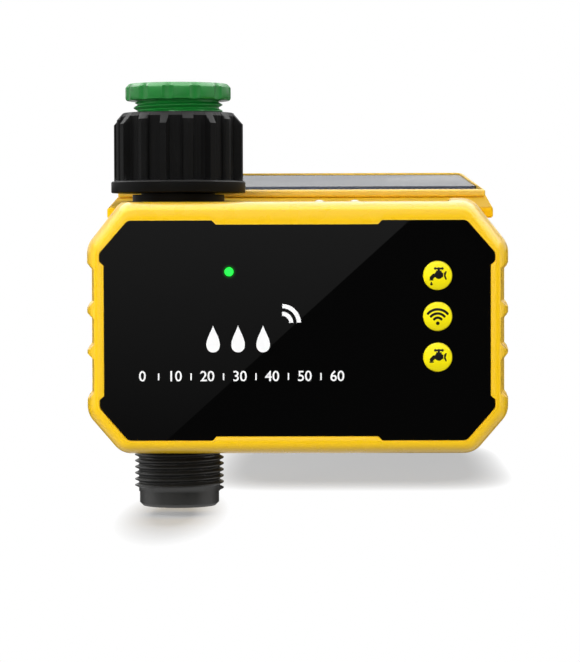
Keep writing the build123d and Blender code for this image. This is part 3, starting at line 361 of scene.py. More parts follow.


# The occluded colours are painted shade: deep orange in the case's creases, and on the lid and plate a
# slightly lighter yellow that offsets their real shading under the plate.
YELLOW = case_look("case_yellow", tint(254, 204, 8), tint(240, 165, 4), 0.28, specular=0.3)
LID_YELLOW = case_look("lid_yellow", tint(255, 200, 18), tint(255, 206, 18), 0.5, specular=0.02)
PLATE_YELLOW = case_look("plate_yellow", tint(228, 184, 44), tint(240, 196, 50), 0.42, specular=0.4)
BLACK = moulded("nylon_black", tint(12, 12, 12), 0.42, grain_mm=0.35, relief_mm=0.008, spread=0.12,
                Specular_IOR_Level=0.05)
BODY_GREY = moulded("valve_grey", tint(30, 30, 29), 0.42, grain_mm=0.35, relief_mm=0.008, spread=0.1)
GREEN = moulded("adapter_green", tint(18, 110, 40), 0.34, spread=0.06, Specular_IOR_Level=0.3)
RUBBER = moulded("seal_rubber", tint(30, 30, 31), 0.7, grain_mm=0.2, relief_mm=0.015)
WHITE = moulded("acetal_white", tint(222, 222, 214), 0.35, spread=0.03)
GREY = moulded("carrier_grey", tint(92, 94, 97), 0.45)
STEEL = metal("stainless", tint(176, 172, 160), 0.32)
CONTACT_STEEL = metal("contact_steel", tint(110, 100, 86), 0.25)
BRASS = metal("turned_brass", tint(206, 172, 96), 0.3)
CHROME = metal("plated_ball", tint(225, 226, 228), 0.12, 0.8)
WRAP = moulded("cell_sleeve", tint(60, 110, 178), 0.3, relief_mm=0.003)
CHIP = moulded("component_dark", tint(42, 42, 45), 0.4)


def board_look():
    """Green solder mask with darker copper tracks and small bright pads."""
    look = Look("solder_mask", Roughness=0.32)
    x, y, z = look.axes()
    row = (z * (TAU / 2.4)).sine()
    column = (x * (TAU / 3.1)).sine()
    tracks = ((row.most(column) - 0.8).most(0.0) * 4).clamp()
    pads = (row * column).inside(-0.9, 0.05)
    base = look.mix(tracks, tint(18, 92, 48), tint(10, 66, 34))
    look.feed("Base Color", look.mix(pads, base, tint(200, 196, 170)))
    look.bump(tracks, 0.03)
    return look


def seam(y):
    """1 on the strip between the two rows of cells, 0 beside it."""
    return (y - (GLASS_LOW[1] + SEAM_REACH)).abs().inside(SEAM_HALF, 0.3)


def cell_look():
    """Blue-grey silicon with fine silver fingers, and a dark seam with tabs between its two rows."""
    look = Look("solar_silicon", Roughness=0.3, Specular_IOR_Level=0.0, Coat_Roughness=0.1)
    x, y, z = look.axes()
    cloud = look.noise(5.0)
    blue = look.mix(cloud, tint(100, 105, 120), tint(112, 117, 132))
    wave = (x * (TAU / FINGER_PITCH)).sine()
    finger = (wave * -1.0).inside(-0.96, 0.05)
    silver = look.mix(finger * 0.4, blue, tint(150, 156, 166))
    tabs = wave.inside(0.0, 0.5)
    dark = look.mix(tabs, tint(64, 64, 66), tint(150, 152, 156))
    between = seam(y)
    look.feed("Base Color", look.mix(between, silver, dark))
    look.feed("Coat Weight", 0.5 - between * 0.5)
    return look


def glass_look():
    """Clear cover with faint ripples, left bare over the seam."""
    look = Look("cover_glass", Base_Color=(0.93, 0.95, 0.97, 1), Roughness=0.05, IOR=1.49,
                Transmission_Weight=1.0)
    x, y, z = look.axes()
    look.feed("Alpha", 1.0 - seam(y))
    look.bump(look.noise(9.0, 1.0), 0.01)
    return look


def lens_look():
    """Status light: a bright green core."""
    look = Look("status_green", Base_Color=tint(0, 235, 60), Roughness=0.2, Emission_Strength=1.0)
    x, y, z = look.axes()
    reach = ((x - LED_X) ** 2.0 + (z - LED_Z) ** 2.0).root()
    look.feed("Emission Color", look.mix(reach.inside(0.95, 0.9), tint(0, 200, 40), tint(10, 255, 60)))
    return look


def panel_look():
    """Polished black plate with a faint painted green glow round the status light, emitted by the plate
    itself.
    """
    look = Look("panel_black", Base_Color=tint(6, 6, 6), Emission_Strength=1.0)
    x, y, z = look.axes()
    reach = ((x - LED_X) ** 2.0 + (z - LED_Z) ** 2.0).root()
    glow = (1.0 - (reach - 1.2) / 1.1).clamp() ** 2.5
    look.feed("Emission Color", look.mix(glow, (0, 0, 0, 1), tint(0, 110, 20)))
    look.feed("Roughness", look.noise(30.0) * 0.008 + 0.002)
    return look


def key_look(name, centre, draw):
    """Glossy yellow key, with painted shade darkening it low down, and a dark pictogram drawn in key radii.
    """
    look = Look(name, Roughness=0.33, Specular_IOR_Level=0.1)
    x, y, z = look.axes()
    across = (x - centre[0]) * (1 / KEY_RADIUS)
    up = (z - centre[1]) * (1 / KEY_RADIUS)
    mask = draw(across, up)
    cloud = look.noise(3.0)
    base = look.mix(cloud, tint(254, 236, 6), tint(255, 242, 14))
    # Painted shade: the colour darkens towards the key's lower edge.
    base = look.mix((up * -0.6 - 0.05).clamp(), base, tint(206, 190, 20))
    look.feed("Base Color", look.mix(mask, base, tint(12, 11, 9)))
    look.feed("Roughness", mask * 0.15 + 0.32)
    return look


def disc(x, y, centre, radius):
    """Distance outside a disc."""
    return ((x - centre[0]) ** 2.0 + (y - centre[1]) ** 2.0).root() - radius


def bar(x, y, start, end, half):
    """Distance outside a round-ended bar between two points."""
    along = np.subtract(end, start)
    length_squared = float(along @ along)
    run, rise = float(along[0]), float(along[1])
    share = (((x - start[0]) * run + (y - start[1]) * rise) / length_squared).clamp()
    dx = x - start[0] - share * run
    dy = y - start[1] - share * rise
    return (dx * dx + dy * dy).root() - half


def box_distance(x, y, low, high):
    """Distance outside an upright rectangle."""
    middle = [(a + b) / 2 for a, b in zip(low, high)]
    half = [(b - a) / 2 for a, b in zip(low, high)]
    return ((x - middle[0]).abs() - half[0]).most((y - middle[1]).abs() - half[1])


def ring_sector(x, y, centre, radius, half, spread):
    """Distance outside an arc of a ring, open to both sides of straight up by an angle."""
    turn = math.radians(spread)
    dx = (x - centre[0]).abs()
    dy = y - centre[1]
    ring = ((dx * dx + dy * dy).root() - radius).abs() - half
    side = dx * math.cos(turn) - dy * math.sin(turn)
    tip = disc(dx, dy, (radius * math.sin(turn), radius * math.cos(turn)), half)
    return ring.most(side).least(tip)


def tap_marks(x, y, open_tap):
    """Tap pictogram: handle, bonnet, round body, flange and a spout, with a drop or a lid under it."""
    shapes = [
        bar(x, y, (-0.19, 0.475), (0.34, 0.475), 0.055),
        disc(x, y, (-0.17, 0.475), 0.08),
        disc(x, y, (0.075, 0.475), 0.08),
        disc(x, y, (0.32, 0.475), 0.08),
        box_distance(x, y, (0.0, 0.3), (0.14, 0.45)),
        box_distance(x, y, (-0.1, 0.18), (0.25, 0.33)),
        disc(x, y, (0.07, 0.04), 0.27),
        box_distance(x, y, (0.3, -0.1), (0.37, 0.16)),
        box_distance(x, y, (0.44, -0.13), (0.5, 0.19)),
        bar(x, y, (0.48, 0.0), (0.56, 0.24), 0.045),
        bar(x, y, (0.48, 0.0), (0.56, -0.24), 0.045),
        bar(x, y, (-0.26, 0.0), (0.0, 0.0), 0.12),
        bar(x, y, (-0.42, -0.16), (-0.26, 0.0), 0.12),
        box_distance(x, y, (-0.53, -0.26), (-0.33, -0.16)),
    ]
    if open_tap:
        shapes += [bar(x, y, (-0.53, -0.31), (-0.33, -0.31), 0.025),
                   disc(x, y, (-0.43, -0.6), 0.08), bar(x, y, (-0.43, -0.58), (-0.43, -0.47), 0.035)]
    else:
        shapes += [bar(x, y, (-0.53, -0.33), (-0.31, -0.33), 0.035)]
    return union(shapes)


def wave_marks(x, y):
    """Wireless pictogram: a dot under three arcs."""
    shapes = [disc(x, y, (0.0, -0.475), 0.115)]
    for radius in (0.33, 0.62, 0.9):
        shapes.append(ring_sector(x, y, (0.0, -0.42), radius, 0.075, 48))
    return union(shapes)


def union(shapes):
    """Mask of the union of shapes, each given as a distance."""
    nearest = shapes[0]
    for shape in shapes[1:]:
        nearest = nearest.least(shape)
    return nearest.inside(MARK_GROWTH, EDGE_BLUR)


# ---------- surfaces ----------
def make_mesh(name, vertices, faces, sharp=35):
    """Mesh of points in millimetres, turned outwards, smooth apart from its sharp edges."""
    mesh = bpy.data.meshes.new(name)
    mesh.from_pydata((np.asarray(vertices) * MM).tolist(), [], faces)
    mesh.validate()
    work = bmesh.new()
    work.from_mesh(mesh)
    bmesh.ops.recalc_face_normals(work, faces=work.faces)
    if work.calc_volume(signed=True) < 0:
        bmesh.ops.reverse_faces(work, faces=work.faces)
    work.to_mesh(mesh)
    work.free()
    mesh.shade_smooth()
    mesh.set_sharp_from_angle(angle=math.radians(sharp))
    return mesh


def place_piece(name, mesh, look, body, replaced=()):
    """Links a mesh as a piece that rides on a body, with its finish and the nodes it stands for."""
    piece = bpy.data.objects.new(name, mesh)
    bpy.context.scene.collection.objects.link(piece)
    mesh.materials.append(look.material)
    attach(piece, body)
    if replaced:
        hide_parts(*replaced)
    return piece


def grid_faces(rows, columns, closed_profile):
    """Quads between the neighbours of a grid that is closed across its columns, and maybe its rows."""
    row = np.arange(rows if closed_profile else rows - 1)
    column = np.arange(columns)
    r, c = np.meshgrid(row, column, indexing="ij")
    above = (r + 1) % rows
    beside = (c + 1) % columns
    quads = [r * columns + c, r * columns + beside, above * columns + beside, above * columns + c]
    return np.stack(quads, -1).reshape(-1, 4).tolist()


def grid_mesh(name, points, closed_profile=True, sharp=35):
    """Mesh of a (rows, columns, 3) grid: a closed profile, or one that ends in two flat caps."""
    rows, columns = points.shape[:2]
    vertices = points.reshape(-1, 3)
    faces = grid_faces(rows, columns, closed_profile)
    if not closed_profile:
        faces.append(list(range(columns)))
        faces.append([(rows - 1) * columns + c for c in range(columns)])
    return make_mesh(name, vertices, faces, sharp)


def rounded_outline(corners, radii, steps):
    """Closed outline through corners, each cut by an arc of its radius tangent to both sides."""
    corners = np.asarray(corners, float)
    points = []
    for index, corner in enumerate(corners):
        back = corners[index - 1] - corner
        ahead = corners[(index + 1) % len(corners)] - corner
        back /= np.hypot(*back)
        ahead /= np.hypot(*ahead)
        half = math.acos(np.clip(back @ ahead, -1, 1)) / 2
        reach = radii[index] / math.tan(half)
        bisector = (back + ahead) / np.hypot(*(back + ahead))
        centre = corner + bisector * radii[index] / math.sin(half)
        first = corner + back * reach - centre
        last = corner + ahead * reach - centre
        start = math.atan2(first[1], first[0])
        sweep = (math.atan2(last[1], last[0]) - start + math.pi) % TAU - math.pi
        turn = start + sweep * np.linspace(0, 1, steps)
        points.append(centre + radii[index] * np.stack([np.cos(turn), np.sin(turn)], 1))
    return np.concatenate(points)


def reach_of(outline, angles):
    """Distance from the origin to a closed outline along each angle, by crossing rays with its sides."""
    start = outline
    side = np.roll(outline, -1, 0) - start
    ray = np.stack([np.cos(angles), np.sin(angles)], 1)
    cross = ray[:, None, 0] * side[None, :, 1] - ray[:, None, 1] * side[None, :, 0]
    cross = np.where(np.abs(cross) < 1e-12, 1e-12, cross)
    along = (start[None, :, 0] * side[None, :, 1] - start[None, :, 1] * side[None, :, 0]) / cross
    share = (start[None, :, 0] * ray[:, None, 1] - start[None, :, 1] * ray[:, None, 0]) / cross
    hit = (share >= -1e-9) & (share <= 1 + 1e-9) & (along > 0)
    return np.where(hit, along, np.inf).min(1)


def cut_outline(half, high, low, top_cut, bottom_cut, radius):
    """Rectangle about the origin with cut and rounded corners."""
    tx, tz = top_cut
    bx, bz = bottom_cut
    corners = [(half - tx, high), (half, high - tz), (half, low + bz), (half - bx, low),
               (-half + bx, low), (-half, low + bz), (-half, high - tz), (-half + tx, high)]
    return rounded_outline(corners, [radius] * 8, CORNER_STEPS)


def shell_outline(inset):
    """Bumper outline about the case's middle, inset from its widest section."""
    less = 0.41 * inset
    return cut_outline(HALF_WIDTH - inset, SHELL_TOP - CENTRE_Z - inset, SHELL_BOTTOM - CENTRE_Z + inset,
                       (TOP_CUT[0] - less, TOP_CUT[1] - less), (BOTTOM_CUT[0] - less, BOTTOM_CUT[1] - less),
                       CORNER_RADIUS - inset)


def panel_outline(offset):
    """Outline of the notched panel about the case's middle, grown by an offset."""
    half = (PANEL_HIGH[0] - PANEL_LOW[0]) / 2 + offset
    high = PANEL_HIGH[2] - CENTRE_Z + offset
    low = PANEL_LOW[2] - CENTRE_Z - offset
    cut_x, cut_z = PANEL_CUT
    notch_x, notch_z = half - NOTCH_DEPTH[0], NOTCH_DEPTH[1]
    edge, side = NOTCH_HALF[0] - offset, NOTCH_HALF[1] - offset
    lean = NOTCH_LEAN
    middle = (high + low) / 2
    right = [(edge - lean, high - notch_z), (edge + lean, high), (half - cut_x, high), (half, high - cut_z),
             (half, middle + side + lean), (notch_x, middle + side - lean),
             (notch_x, middle - side + lean), (half, middle - side - lean), (half, low + cut_z),
             (half - cut_x, low), (edge + lean, low), (edge - lean, low + notch_z)]
    left = [(-x, z) for x, z in reversed(right)]
    corner, notch = [PANEL_RADIUS] * 2, [NOTCH_RADIUS] * 2
    radii = notch + corner + notch + notch + corner + notch
    return rounded_outline(right + left, radii + radii, 5)


def even_angles(outline, spacing):
    """Angles of points spread evenly along a closed outline."""
    closed = np.vstack([outline, outline[:1]])
    length = np.concatenate([[0], np.cumsum(np.hypot(*np.diff(closed, axis=0).T))])
    wanted = np.linspace(0, length[-1], int(length[-1] / spacing), endpoint=False)
    x = np.interp(wanted, length, closed[:, 0])
    z = np.interp(wanted, length, closed[:, 1])
    return np.arctan2(z, x)


def ramp(value, start, end):
    """0 before start, 1 after end, straight between."""
    return np.clip((value - start) / (end - start), 0, 1)


def side_limit(z, y):
    """Half width of the bumper: recessed between the pads and the two bumps, more so towards the front.

    A recess has ends that slope at 45 degrees, and a depth that grows in a straight line from back to front.
    """
    drop = SHELL_TOP - z
    back, front = SIDE_RECESS_DEPTH
    depth = back + (front - back) * (BUMPER_BACK + 1 - y) / (BUMPER_BACK + 2 - SHELL_LOW[1])
    cut = np.zeros_like(z)
    for near, far in SIDE_RECESS_SPANS:
        cut = np.maximum(cut, np.clip(np.minimum(drop - near, far - drop) + depth, 0, depth))
    return HALF_WIDTH - cut


def top_limit(x):
    """Height of the bumper's top: lower from the left end to the right pad."""
    return SHELL_TOP - TOP_RECESS_DEPTH * (1 - ramp(x, TOP_RECESS_HALF, TOP_RECESS_HALF + 0.6))


def bumper_points():
    """Grid of the bumper's rim: panel recess, rounded lip, bevel, side, and inside.

    Each row is an outline at one depth: (inset of the case's outline, depth, growth of the panel's outline),
    crossed by rays from the middle. The bevel is a quarter ellipse: inset = width (1 - cos a),
    depth = front + depth of bevel (1 - sin a). Where the sides or the top are recessed, points are held back.
    """
    spread = [even_angles(shell_outline(0), RIM_SPACING),
              even_angles(panel_outline(PANEL_GAP), NOTCH_SPACING)]
    angles = np.sort(np.concatenate(spread))
    angles = angles[np.concatenate([[True], np.diff(angles) > 1e-4])]
    front = SHELL_LOW[1] - SKIN
    back = BUMPER_BACK + SKIN
    bevel = [(BEVEL_WIDTH * (1 - math.cos(a)), front + BEVEL_DEPTH * (1 - math.sin(a)))
             for a in np.linspace(math.pi / 2, 0, BEVEL_STEPS)]
    wall = PANEL_GAP - SKIN / 2
    rows = [(None, PANEL_HIGH[1] - 0.2, wall), (None, front + 0.45, wall),
            (None, front + 0.12, PANEL_GAP + 0.1), (None, front, PANEL_GAP + 0.42)]
    rows += [(inset, y, 0) for inset, y in bevel]
    rows += [(0, BUMPER_BACK - 0.5, 0), (0.12, BUMPER_BACK - 0.12, 0), (0.45, back, 0),
             (INNER_INSET, back, 0), (INNER_INSET, BUMPER_BACK - INNER_REACH, 0)]
    grid = []
    for inset, y, grow in rows:
        outline = panel_outline(grow) if inset is None else shell_outline(inset)
        reach = reach_of(outline, angles)
        x, z = reach * np.cos(angles), reach * np.sin(angles) + CENTRE_Z
        if inset is not None:
            scale = 1 + SKIN / np.maximum(reach, 1)
            x, z = x * scale, (z - CENTRE_Z) * scale + CENTRE_Z
            x = np.sign(x) * np.minimum(np.abs(x), side_limit(z, y) + SKIN)
            z = np.minimum(z, top_limit(x) + SKIN)
        grid.append(np.stack([x + CENTRE_X, np.full_like(x, y), z], 1))
    return np.array(grid)


def lathe_grid(profile, columns, wobble=None):
    """Grid of (radius, height) rows turned about the valve axis, with an optional change of radius."""
    angles = np.linspace(0, TAU, columns, endpoint=False)
    profile = np.asarray(profile, float)
    radius = np.repeat(profile[:, :1], columns, 1)
    height = np.repeat(profile[:, 1:2], columns, 1)
    if wobble is not None:
        radius = wobble(radius, height, angles[None, :] + 0 * radius)
    return np.stack([radius * np.cos(angles), radius * np.sin(angles), height], -1)


def thread_rise(angle, height, start, low, high):
    """Share of the thread's depth: a helical ridge with sloping flanks that fades at both ends."""
    turn = (height - start) / THREAD_PITCH - angle / TAU
    off_crest = np.abs(turn - np.round(turn))
    ridge = np.clip((THREAD_FOOT_SHARE - off_crest) / (THREAD_FOOT_SHARE - THREAD_TIP_SHARE), 0, 1)
    fade = ramp(height, low, low + 0.8) * (1 - ramp(height, high - 0.4, high))
    return ridge * fade


def adapter_points():
    """Green adapter: lobed flange, helical thread below it, and the bore that the tap screws into.

    A profile is turned about the axis. The flange loses round grooves, whose floor lies at
    c cos t - sqrt(g^2 - c^2 sin^2 t) for a groove of radius g round a centre at c, and the thread
    adds its rise to the root.
    """
    top = ADAPTER_HIGH[2]
    end = ADAPTER_LOW[2]
    radius = (ADAPTER_HIGH[0] - ADAPTER_LOW[0]) / 2
    under = top - FLANGE_HEIGHT
    thread = [(THREAD_ROOT, z) for z in np.linspace(under, end + 0.3, 100)]
    profile = [(TAP_BORE, top - 0.6), (9.8, top - 0.1), (10.1, top), (radius - 1.3, top),
               (radius - 1.0, top - 0.08), (radius - 0.12, top - 1.0), (radius, top - 1.35),
               (radius, under + 0.85),
               (radius - 0.06, under + 0.6), (radius - 0.25, under + 0.25), (radius - 0.6, under + 0.05),
               (radius - 0.9, under)]
    profile += thread + [(THREAD_ROOT - 0.3, end), (WATER_BORE + 0.2, end), (WATER_BORE, end + 0.2),
                         (WATER_BORE, top - TAP_DEPTH), (TAP_BORE, top - TAP_DEPTH), (TAP_BORE, top - 9.5)]

    def wobble(r, z, a):
        outer = (r > THREAD_ROOT + 1.0) & (z < top - 0.05)
        pitch = TAU / GRIP_COUNT
        turn = (a - math.radians(GRIP_TURN) + pitch / 2) % pitch - pitch / 2
        centre = radius + GRIP_GROOVE - GRIP_DEPTH
        inside = np.maximum(GRIP_GROOVE ** 2 - (centre * np.sin(turn)) ** 2, 0)
        groove = np.where(inside > 0, centre * np.cos(turn) - np.sqrt(inside), 99.0)
        threaded = np.isclose(r, THREAD_ROOT)
        rise = thread_rise(a, z, end, end, under - 0.2) * (THREAD_CREST - THREAD_ROOT)
        return np.where(threaded, r + rise, np.where(outer, np.minimum(r, groove), r))

    return lathe_grid(profile, ADAPTER_COLUMNS, wobble)


def collar_points():
    """Black swivel collar: ribs with chamfered tops, fluted bays, and a flange at the bottom.

    A profile is turned about the axis, and between the ribs its radius is held down to a bay's floor,
    which carries a ridge of half-ellipse section and fine cosine flutes.
    """
    top, bottom = COLLAR_HIGH[2], COLLAR_LOW[2]
    body, flange, rim = COLLAR_RADIUS, COLLAR_FLANGE, COLLAR_TOP_RADIUS
    shoulder, flange_top = top - COLLAR_SHOULDER, bottom + COLLAR_FLANGE_HEIGHT
    chamfer_top = top - 0.15
    levels = np.linspace(flange_top + 0.35, shoulder, 10)
    profile = [(COLLAR_MOUTH, top - 0.5), (COLLAR_MOUTH + 0.4, top), (rim - 0.3, top), (rim, chamfer_top)]
    profile += [(rim + (body - rim) * t, chamfer_top - (chamfer_top - shoulder) * t) for t in (0.3, 0.6, 0.9)]
    profile += [(body, z) for z in levels[::-1]]
    profile += [(body, flange_top + 0.1), (body + 0.05, flange_top), (flange - 0.3, flange_top),
                (flange, flange_top - 0.3), (flange, bottom + 0.4), (flange - 0.12, bottom + 0.12),
                (flange - 0.4, bottom), (COLLAR_BORE + 0.25, bottom), (COLLAR_BORE, bottom + 0.3),
                (COLLAR_BORE, bottom + 3.0), (COLLAR_MOUTH, bottom + 3.0)]
    pitch = TAU / RIB_COUNT
    rib_half = RIB_HALF / body
    ridge_half = RIDGE_HALF / (body - BAY_DEPTH)

    def wobble(r, z, a):
        turn = (a + math.pi / 2 - math.radians(RIB_TURN)) % pitch
        from_rib = np.minimum(turn, pitch - turn)
        bay = ramp(from_rib, rib_half, rib_half + 0.03)
        off_middle = np.clip(np.abs(from_rib - pitch / 2) / ridge_half, 0, 1)
        ridge = RIDGE_HEIGHT * np.sqrt(1 - off_middle ** 2)
        flutes = 0.5 - 0.5 * np.cos((from_rib - rib_half) / (pitch / 2 - rib_half) * TAU * 4.5)
        depth = (BAY_DEPTH - ridge - FLUTE_DEPTH * flutes) * bay
        floor_radius = body - depth * ramp(z, flange_top, flange_top + 0.3)
        fluted = (r > rim - 0.1) & (z > flange_top + 0.02)
        return np.where(fluted, np.minimum(r, floor_radius), r)

    return lathe_grid(profile, COLLAR_COLUMNS, wobble)


def key_points(centre, low_y, high_y):
    """Domed key about its own axis along Y: a shallow dome, a round shoulder, a side and a flange.

    The dome falls back by its height times the square of the distance from the axis, in key radii.
    """
    dome = [(KEY_RADIUS * t, low_y + KEY_DOME * t ** 2) for t in np.linspace(0.02, 0.9, 10)]
    rim = [(KEY_RADIUS * 0.95, low_y + 0.83), (KEY_RADIUS * 0.985, low_y + 0.95), (KEY_RADIUS, low_y + 1.2)]
    back = [(KEY_RADIUS, high_y - 0.8), (KEY_FLANGE, high_y - 0.8), (KEY_FLANGE, high_y)]
    profile = np.array(dome + rim + back)
    angles = np.linspace(0, TAU, KEY_COLUMNS, endpoint=False)
    radius, depth = profile[:, :1], profile[:, 1:]
    return np.stack([centre[0] + radius * np.cos(angles), depth + 0 * angles,
                     centre[1] + radius * np.sin(angles)], -1)


def smooth_copy(node, look, sharp=30):
    """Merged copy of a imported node, with flat faces flat and round faces smooth."""
    source = frame["nodes"][node]
    work = bmesh.new()
    work.from_mesh(source.data)
    bmesh.ops.remove_doubles(work, verts=work.verts, dist=1e-6)
    bmesh.ops.dissolve_limit(work, angle_limit=math.radians(0.3), verts=work.verts, edges=work.edges)
    mesh = bpy.data.meshes.new(node + "_smooth")
    work.to_mesh(mesh)
    work.free()
    mesh.shade_smooth()
    mesh.set_sharp_from_angle(angle=math.radians(sharp))
    piece = place_piece(node + "_skin", mesh, look, source["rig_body"], (node,))
    normals = piece.modifiers.new("flat_first", "WEIGHTED_NORMAL")
    normals.keep_sharp = True


# ---------- pieces ----------
place_piece("bumper_skin", grid_mesh("bumper_skin", bumper_points()), YELLOW, "case")
place_piece("adapter_grip", grid_mesh("adapter_grip", adapter_points(), sharp=28), GREEN, "adapter",
            ("reducer_adapter",))
place_piece("collar_grip", grid_mesh("collar_grip", collar_points(), sharp=24), BLACK, "collar",
            ("swivel_collar",))

pictograms = {
    "water_on": lambda x, y: tap_marks(x, y, True),
    "wireless": wave_marks,
    "water_off": lambda x, y: tap_marks(x, y, False),
}
for key, draw in pictograms.items():
    low, high = span(key + "_button")
    middle = ((low[0] + high[0]) / 2, (low[2] + high[2]) / 2)
    look = key_look(key + "_yellow", middle, draw)
    mesh = grid_mesh(key + "_cap", key_points(middle, low[1], high[1]), closed_profile=False)
    place_piece(key + "_cap", mesh, look, key + "_key", (key + "_button",))

smoothed = {
    "rear_housing": YELLOW,
    "roof_lid": LID_YELLOW,
    "solar_frame": PLATE_YELLOW,
    "valve_body": BODY_GREY,
    "inlet_neck": BLACK,
    "rain_contacts": CONTACT_STEEL,
}
for node, look in smoothed.items():
    smooth_copy(node, look)

kept = {
    YELLOW: ("front_shell",),
    panel_look(): ("front_panel",),
    lens_look(): ("led_lens",),
    cell_look(): ("solar_cells",),
    glass_look(): ("solar_glass",),
    board_look(): ("main_board",),
    RUBBER: ("adapter_washer", "collar_washer", "neck_o_ring", "stem_o_rings", "outlet_gasket",
             "case_gasket"),
    STEEL: ("collar_ring", "inlet_filter", "gear_axles", "gearbox_screws", "board_screws", "case_screws",
            "motor_shaft", "battery_contacts", "motor", "radio_module"),
    WHITE: ("ball_seats", "output_gear", "second_gear", "first_gear", "status_led"),
    CHROME: ("valve_ball",),
    BRASS: ("valve_stem", "motor_pinion"),
    GREY: ("gearbox_case", "gearbox_cover", "battery_holder", "tact_switches"),
    WRAP: ("battery_cell",),
    CHIP: ("board_parts", "water_on_plunger", "wireless_plunger", "water_off_plunger"),
}
for look, nodes in kept.items():
    for node in nodes:
        mesh = frame["nodes"][node].data
        mesh.materials.clear()
        mesh.materials.append(look.material)


# ---------- printed marks on the panel ----------
MARK_WHITE = Look("print_white", Base_Color=tint(250, 250, 250), Roughness=0.4)


def print_mark(name, outline):
    """Thin flat mark of a closed (x, z) outline on the panel's face."""
    face_y = PANEL_LOW[1]
    outline = np.asarray(outline, float)
    count = len(outline)
    front = np.stack([outline[:, 0], np.full(count, face_y - MARK_THICKNESS), outline[:, 1]], 1)
    back = front + [0, MARK_THICKNESS * 1.5, 0]
    faces = [list(range(count)), list(range(count, 2 * count))]
    faces += [[i, (i + 1) % count, count + (i + 1) % count, count + i] for i in range(count)]
    mesh = make_mesh(name, np.concatenate([front, back]), faces)
    place_piece(name, mesh, MARK_WHITE, "case")


def arc_band(centre, radius, half, start, end):
    """Outline of a round-ended arc between two angles in degrees."""
    turn = np.radians(np.linspace(start, end, 24))
    outer = np.stack([np.cos(turn), np.sin(turn)], 1) * (radius + half)
    inner = np.stack([np.cos(turn), np.sin(turn)], 1)[::-1] * (radius - half)
    return np.concatenate([outer, inner]) + centre


def drop_outline(centre, height):
    """Water drop: x = sin(t) sin(t/2)^1.6 over y = cos(t), scaled to a height."""
    turn = np.linspace(0, TAU, 64, endpoint=False)
    x = np.sin(turn) * np.abs(np.sin(turn / 2)) ** 1.6
    return np.stack([x * 0.36 * height, np.cos(turn) * 0.5 * height], 1) + centre


for number in range(3):
    middle = (DROP_LEFT + DROP_PITCH * number, DROP_Z)
    print_mark(f"mark_drop_{number}", drop_outline(middle, DROP_HEIGHT))
for number, radius in enumerate(ARC_RADII):
    print_mark(f"mark_arc_{number}", arc_band(ARC_FOOT, radius, ARC_HALF, 2, 88))

for number in range(7):
    x = SCALE_LEFT + SCALE_PITCH * number
    if number:
        tick = x - SCALE_PITCH / 2
        corners = [(tick + across * TICK_HALF[0], SCALE_Z + up * TICK_HALF[1])
                   for across, up in ((-1, -1), (1, -1), (1, 1), (-1, 1))]
        print_mark(f"mark_tick_{number}", corners)
    text = bpy.data.curves.new(f"numeral_{number}", "FONT")
    text.body = str(number * 10)
    text.size = NUMERAL_SIZE * MM
    text.extrude = MARK_THICKNESS * MM
    text.offset = NUMERAL_GROWTH * MM
    text.align_x = "CENTER"
    text.align_y = "CENTER"
    holder = bpy.data.objects.new("numeral_source", text)
    bpy.context.scene.collection.objects.link(holder)
    bpy.context.view_layer.update()
    mesh = bpy.data.meshes.new_from_object(holder.evaluated_get(bpy.context.evaluated_depsgraph_get()))
    bpy.data.objects.remove(holder)
    flat = np.empty(len(mesh.vertices) * 3, np.float32)
    mesh.vertices.foreach_get("co", flat)
    flat = flat.reshape(-1, 3)
    stood = np.stack([flat[:, 0] + x * MM, PANEL_LOW[1] * MM - flat[:, 2], flat[:, 1] + SCALE_Z * MM], 1)
    mesh.vertices.foreach_set("co", stood.ravel())
    mesh.materials.clear()
    place_piece(f"mark_number_{number}", mesh, MARK_WHITE, "case")


# ---------- stage, light and camera ----------
def floor_look():
    """Pale floor that keeps the shadow in a rounded band and an oval spot, and is white elsewhere.

    The band fades where (|x| / reach)^6 + (|y| / reach)^4 passes 1, and the spot with its distance.
    """
    look = Look("floor_pale", Base_Color=(0.86, 0.86, 0.86, 1), Roughness=0.9, Specular_IOR_Level=0.0)
    tree = look.tree
    x, y, z = look.axes()
    across = ((x - BAND_MIDDLE[0]).abs() / BAND_REACH[0]) ** 6.0
    deep = ((y - BAND_MIDDLE[1]).abs() / BAND_REACH[1]) ** 4.0
    band = (1.2 - (across + deep)).clamp() * BAND_SHARE
    aside = ((x - SPOT_MIDDLE[0]) / SPOT_REACH[0]) ** 2.0
    along = ((y - SPOT_MIDDLE[1]) / SPOT_REACH[1]) ** 2.0
    spot = (aside + along).root()
    far = 1.0 - band.most((1.5 - spot).clamp() * SPOT_SHARE)
    path = tree.nodes.new("ShaderNodeLightPath")
    seen = Wire(look, path.outputs["Is Camera Ray"]).most(Wire(look, path.outputs["Is Glossy Ray"]))
    white = tree.nodes.new("ShaderNodeEmission")
    mixer = tree.nodes.new("ShaderNodeMixShader")
    tree.links.new((far * seen).socket, mixer.inputs[0])
    tree.links.new(look.shader.outputs[0], mixer.inputs[1])
    tree.links.new(white.outputs[0], mixer.inputs[2])
    tree.links.new(mixer.outputs[0], tree.nodes["Material Output"].inputs[0])
    return look.material


def stage_sheet(name, corners, material):
    """Flat sheet of the stage through corners in millimetres."""
    mesh = bpy.data.meshes.new(name)
    vertices = [tuple(c * MM for c in corner) for corner in corners]
    mesh.from_pydata(vertices, [], [tuple(range(len(corners)))])
    mesh.materials.append(material)
    sheet = bpy.data.objects.new(name, mesh)
    bpy.context.scene.collection.objects.link(sheet)
    return sheet


def upright(left, right, low, high, y):
    """Corners of an upright rectangle that faces along Y."""
    return [(left, y, low), (right, y, low), (right, y, high), (left, y, high)]


def level_sheet(left, right, near, far, z):
    """Corners of a level rectangle."""
    return [(left, near, z), (right, near, z), (right, far, z), (left, far, z)]


floor = stage_sheet("floor", level_sheet(-4000, 4000, -270, 9000, FLOOR_Z), floor_look())
floor.visible_diffuse = False
floor.visible_glossy = False


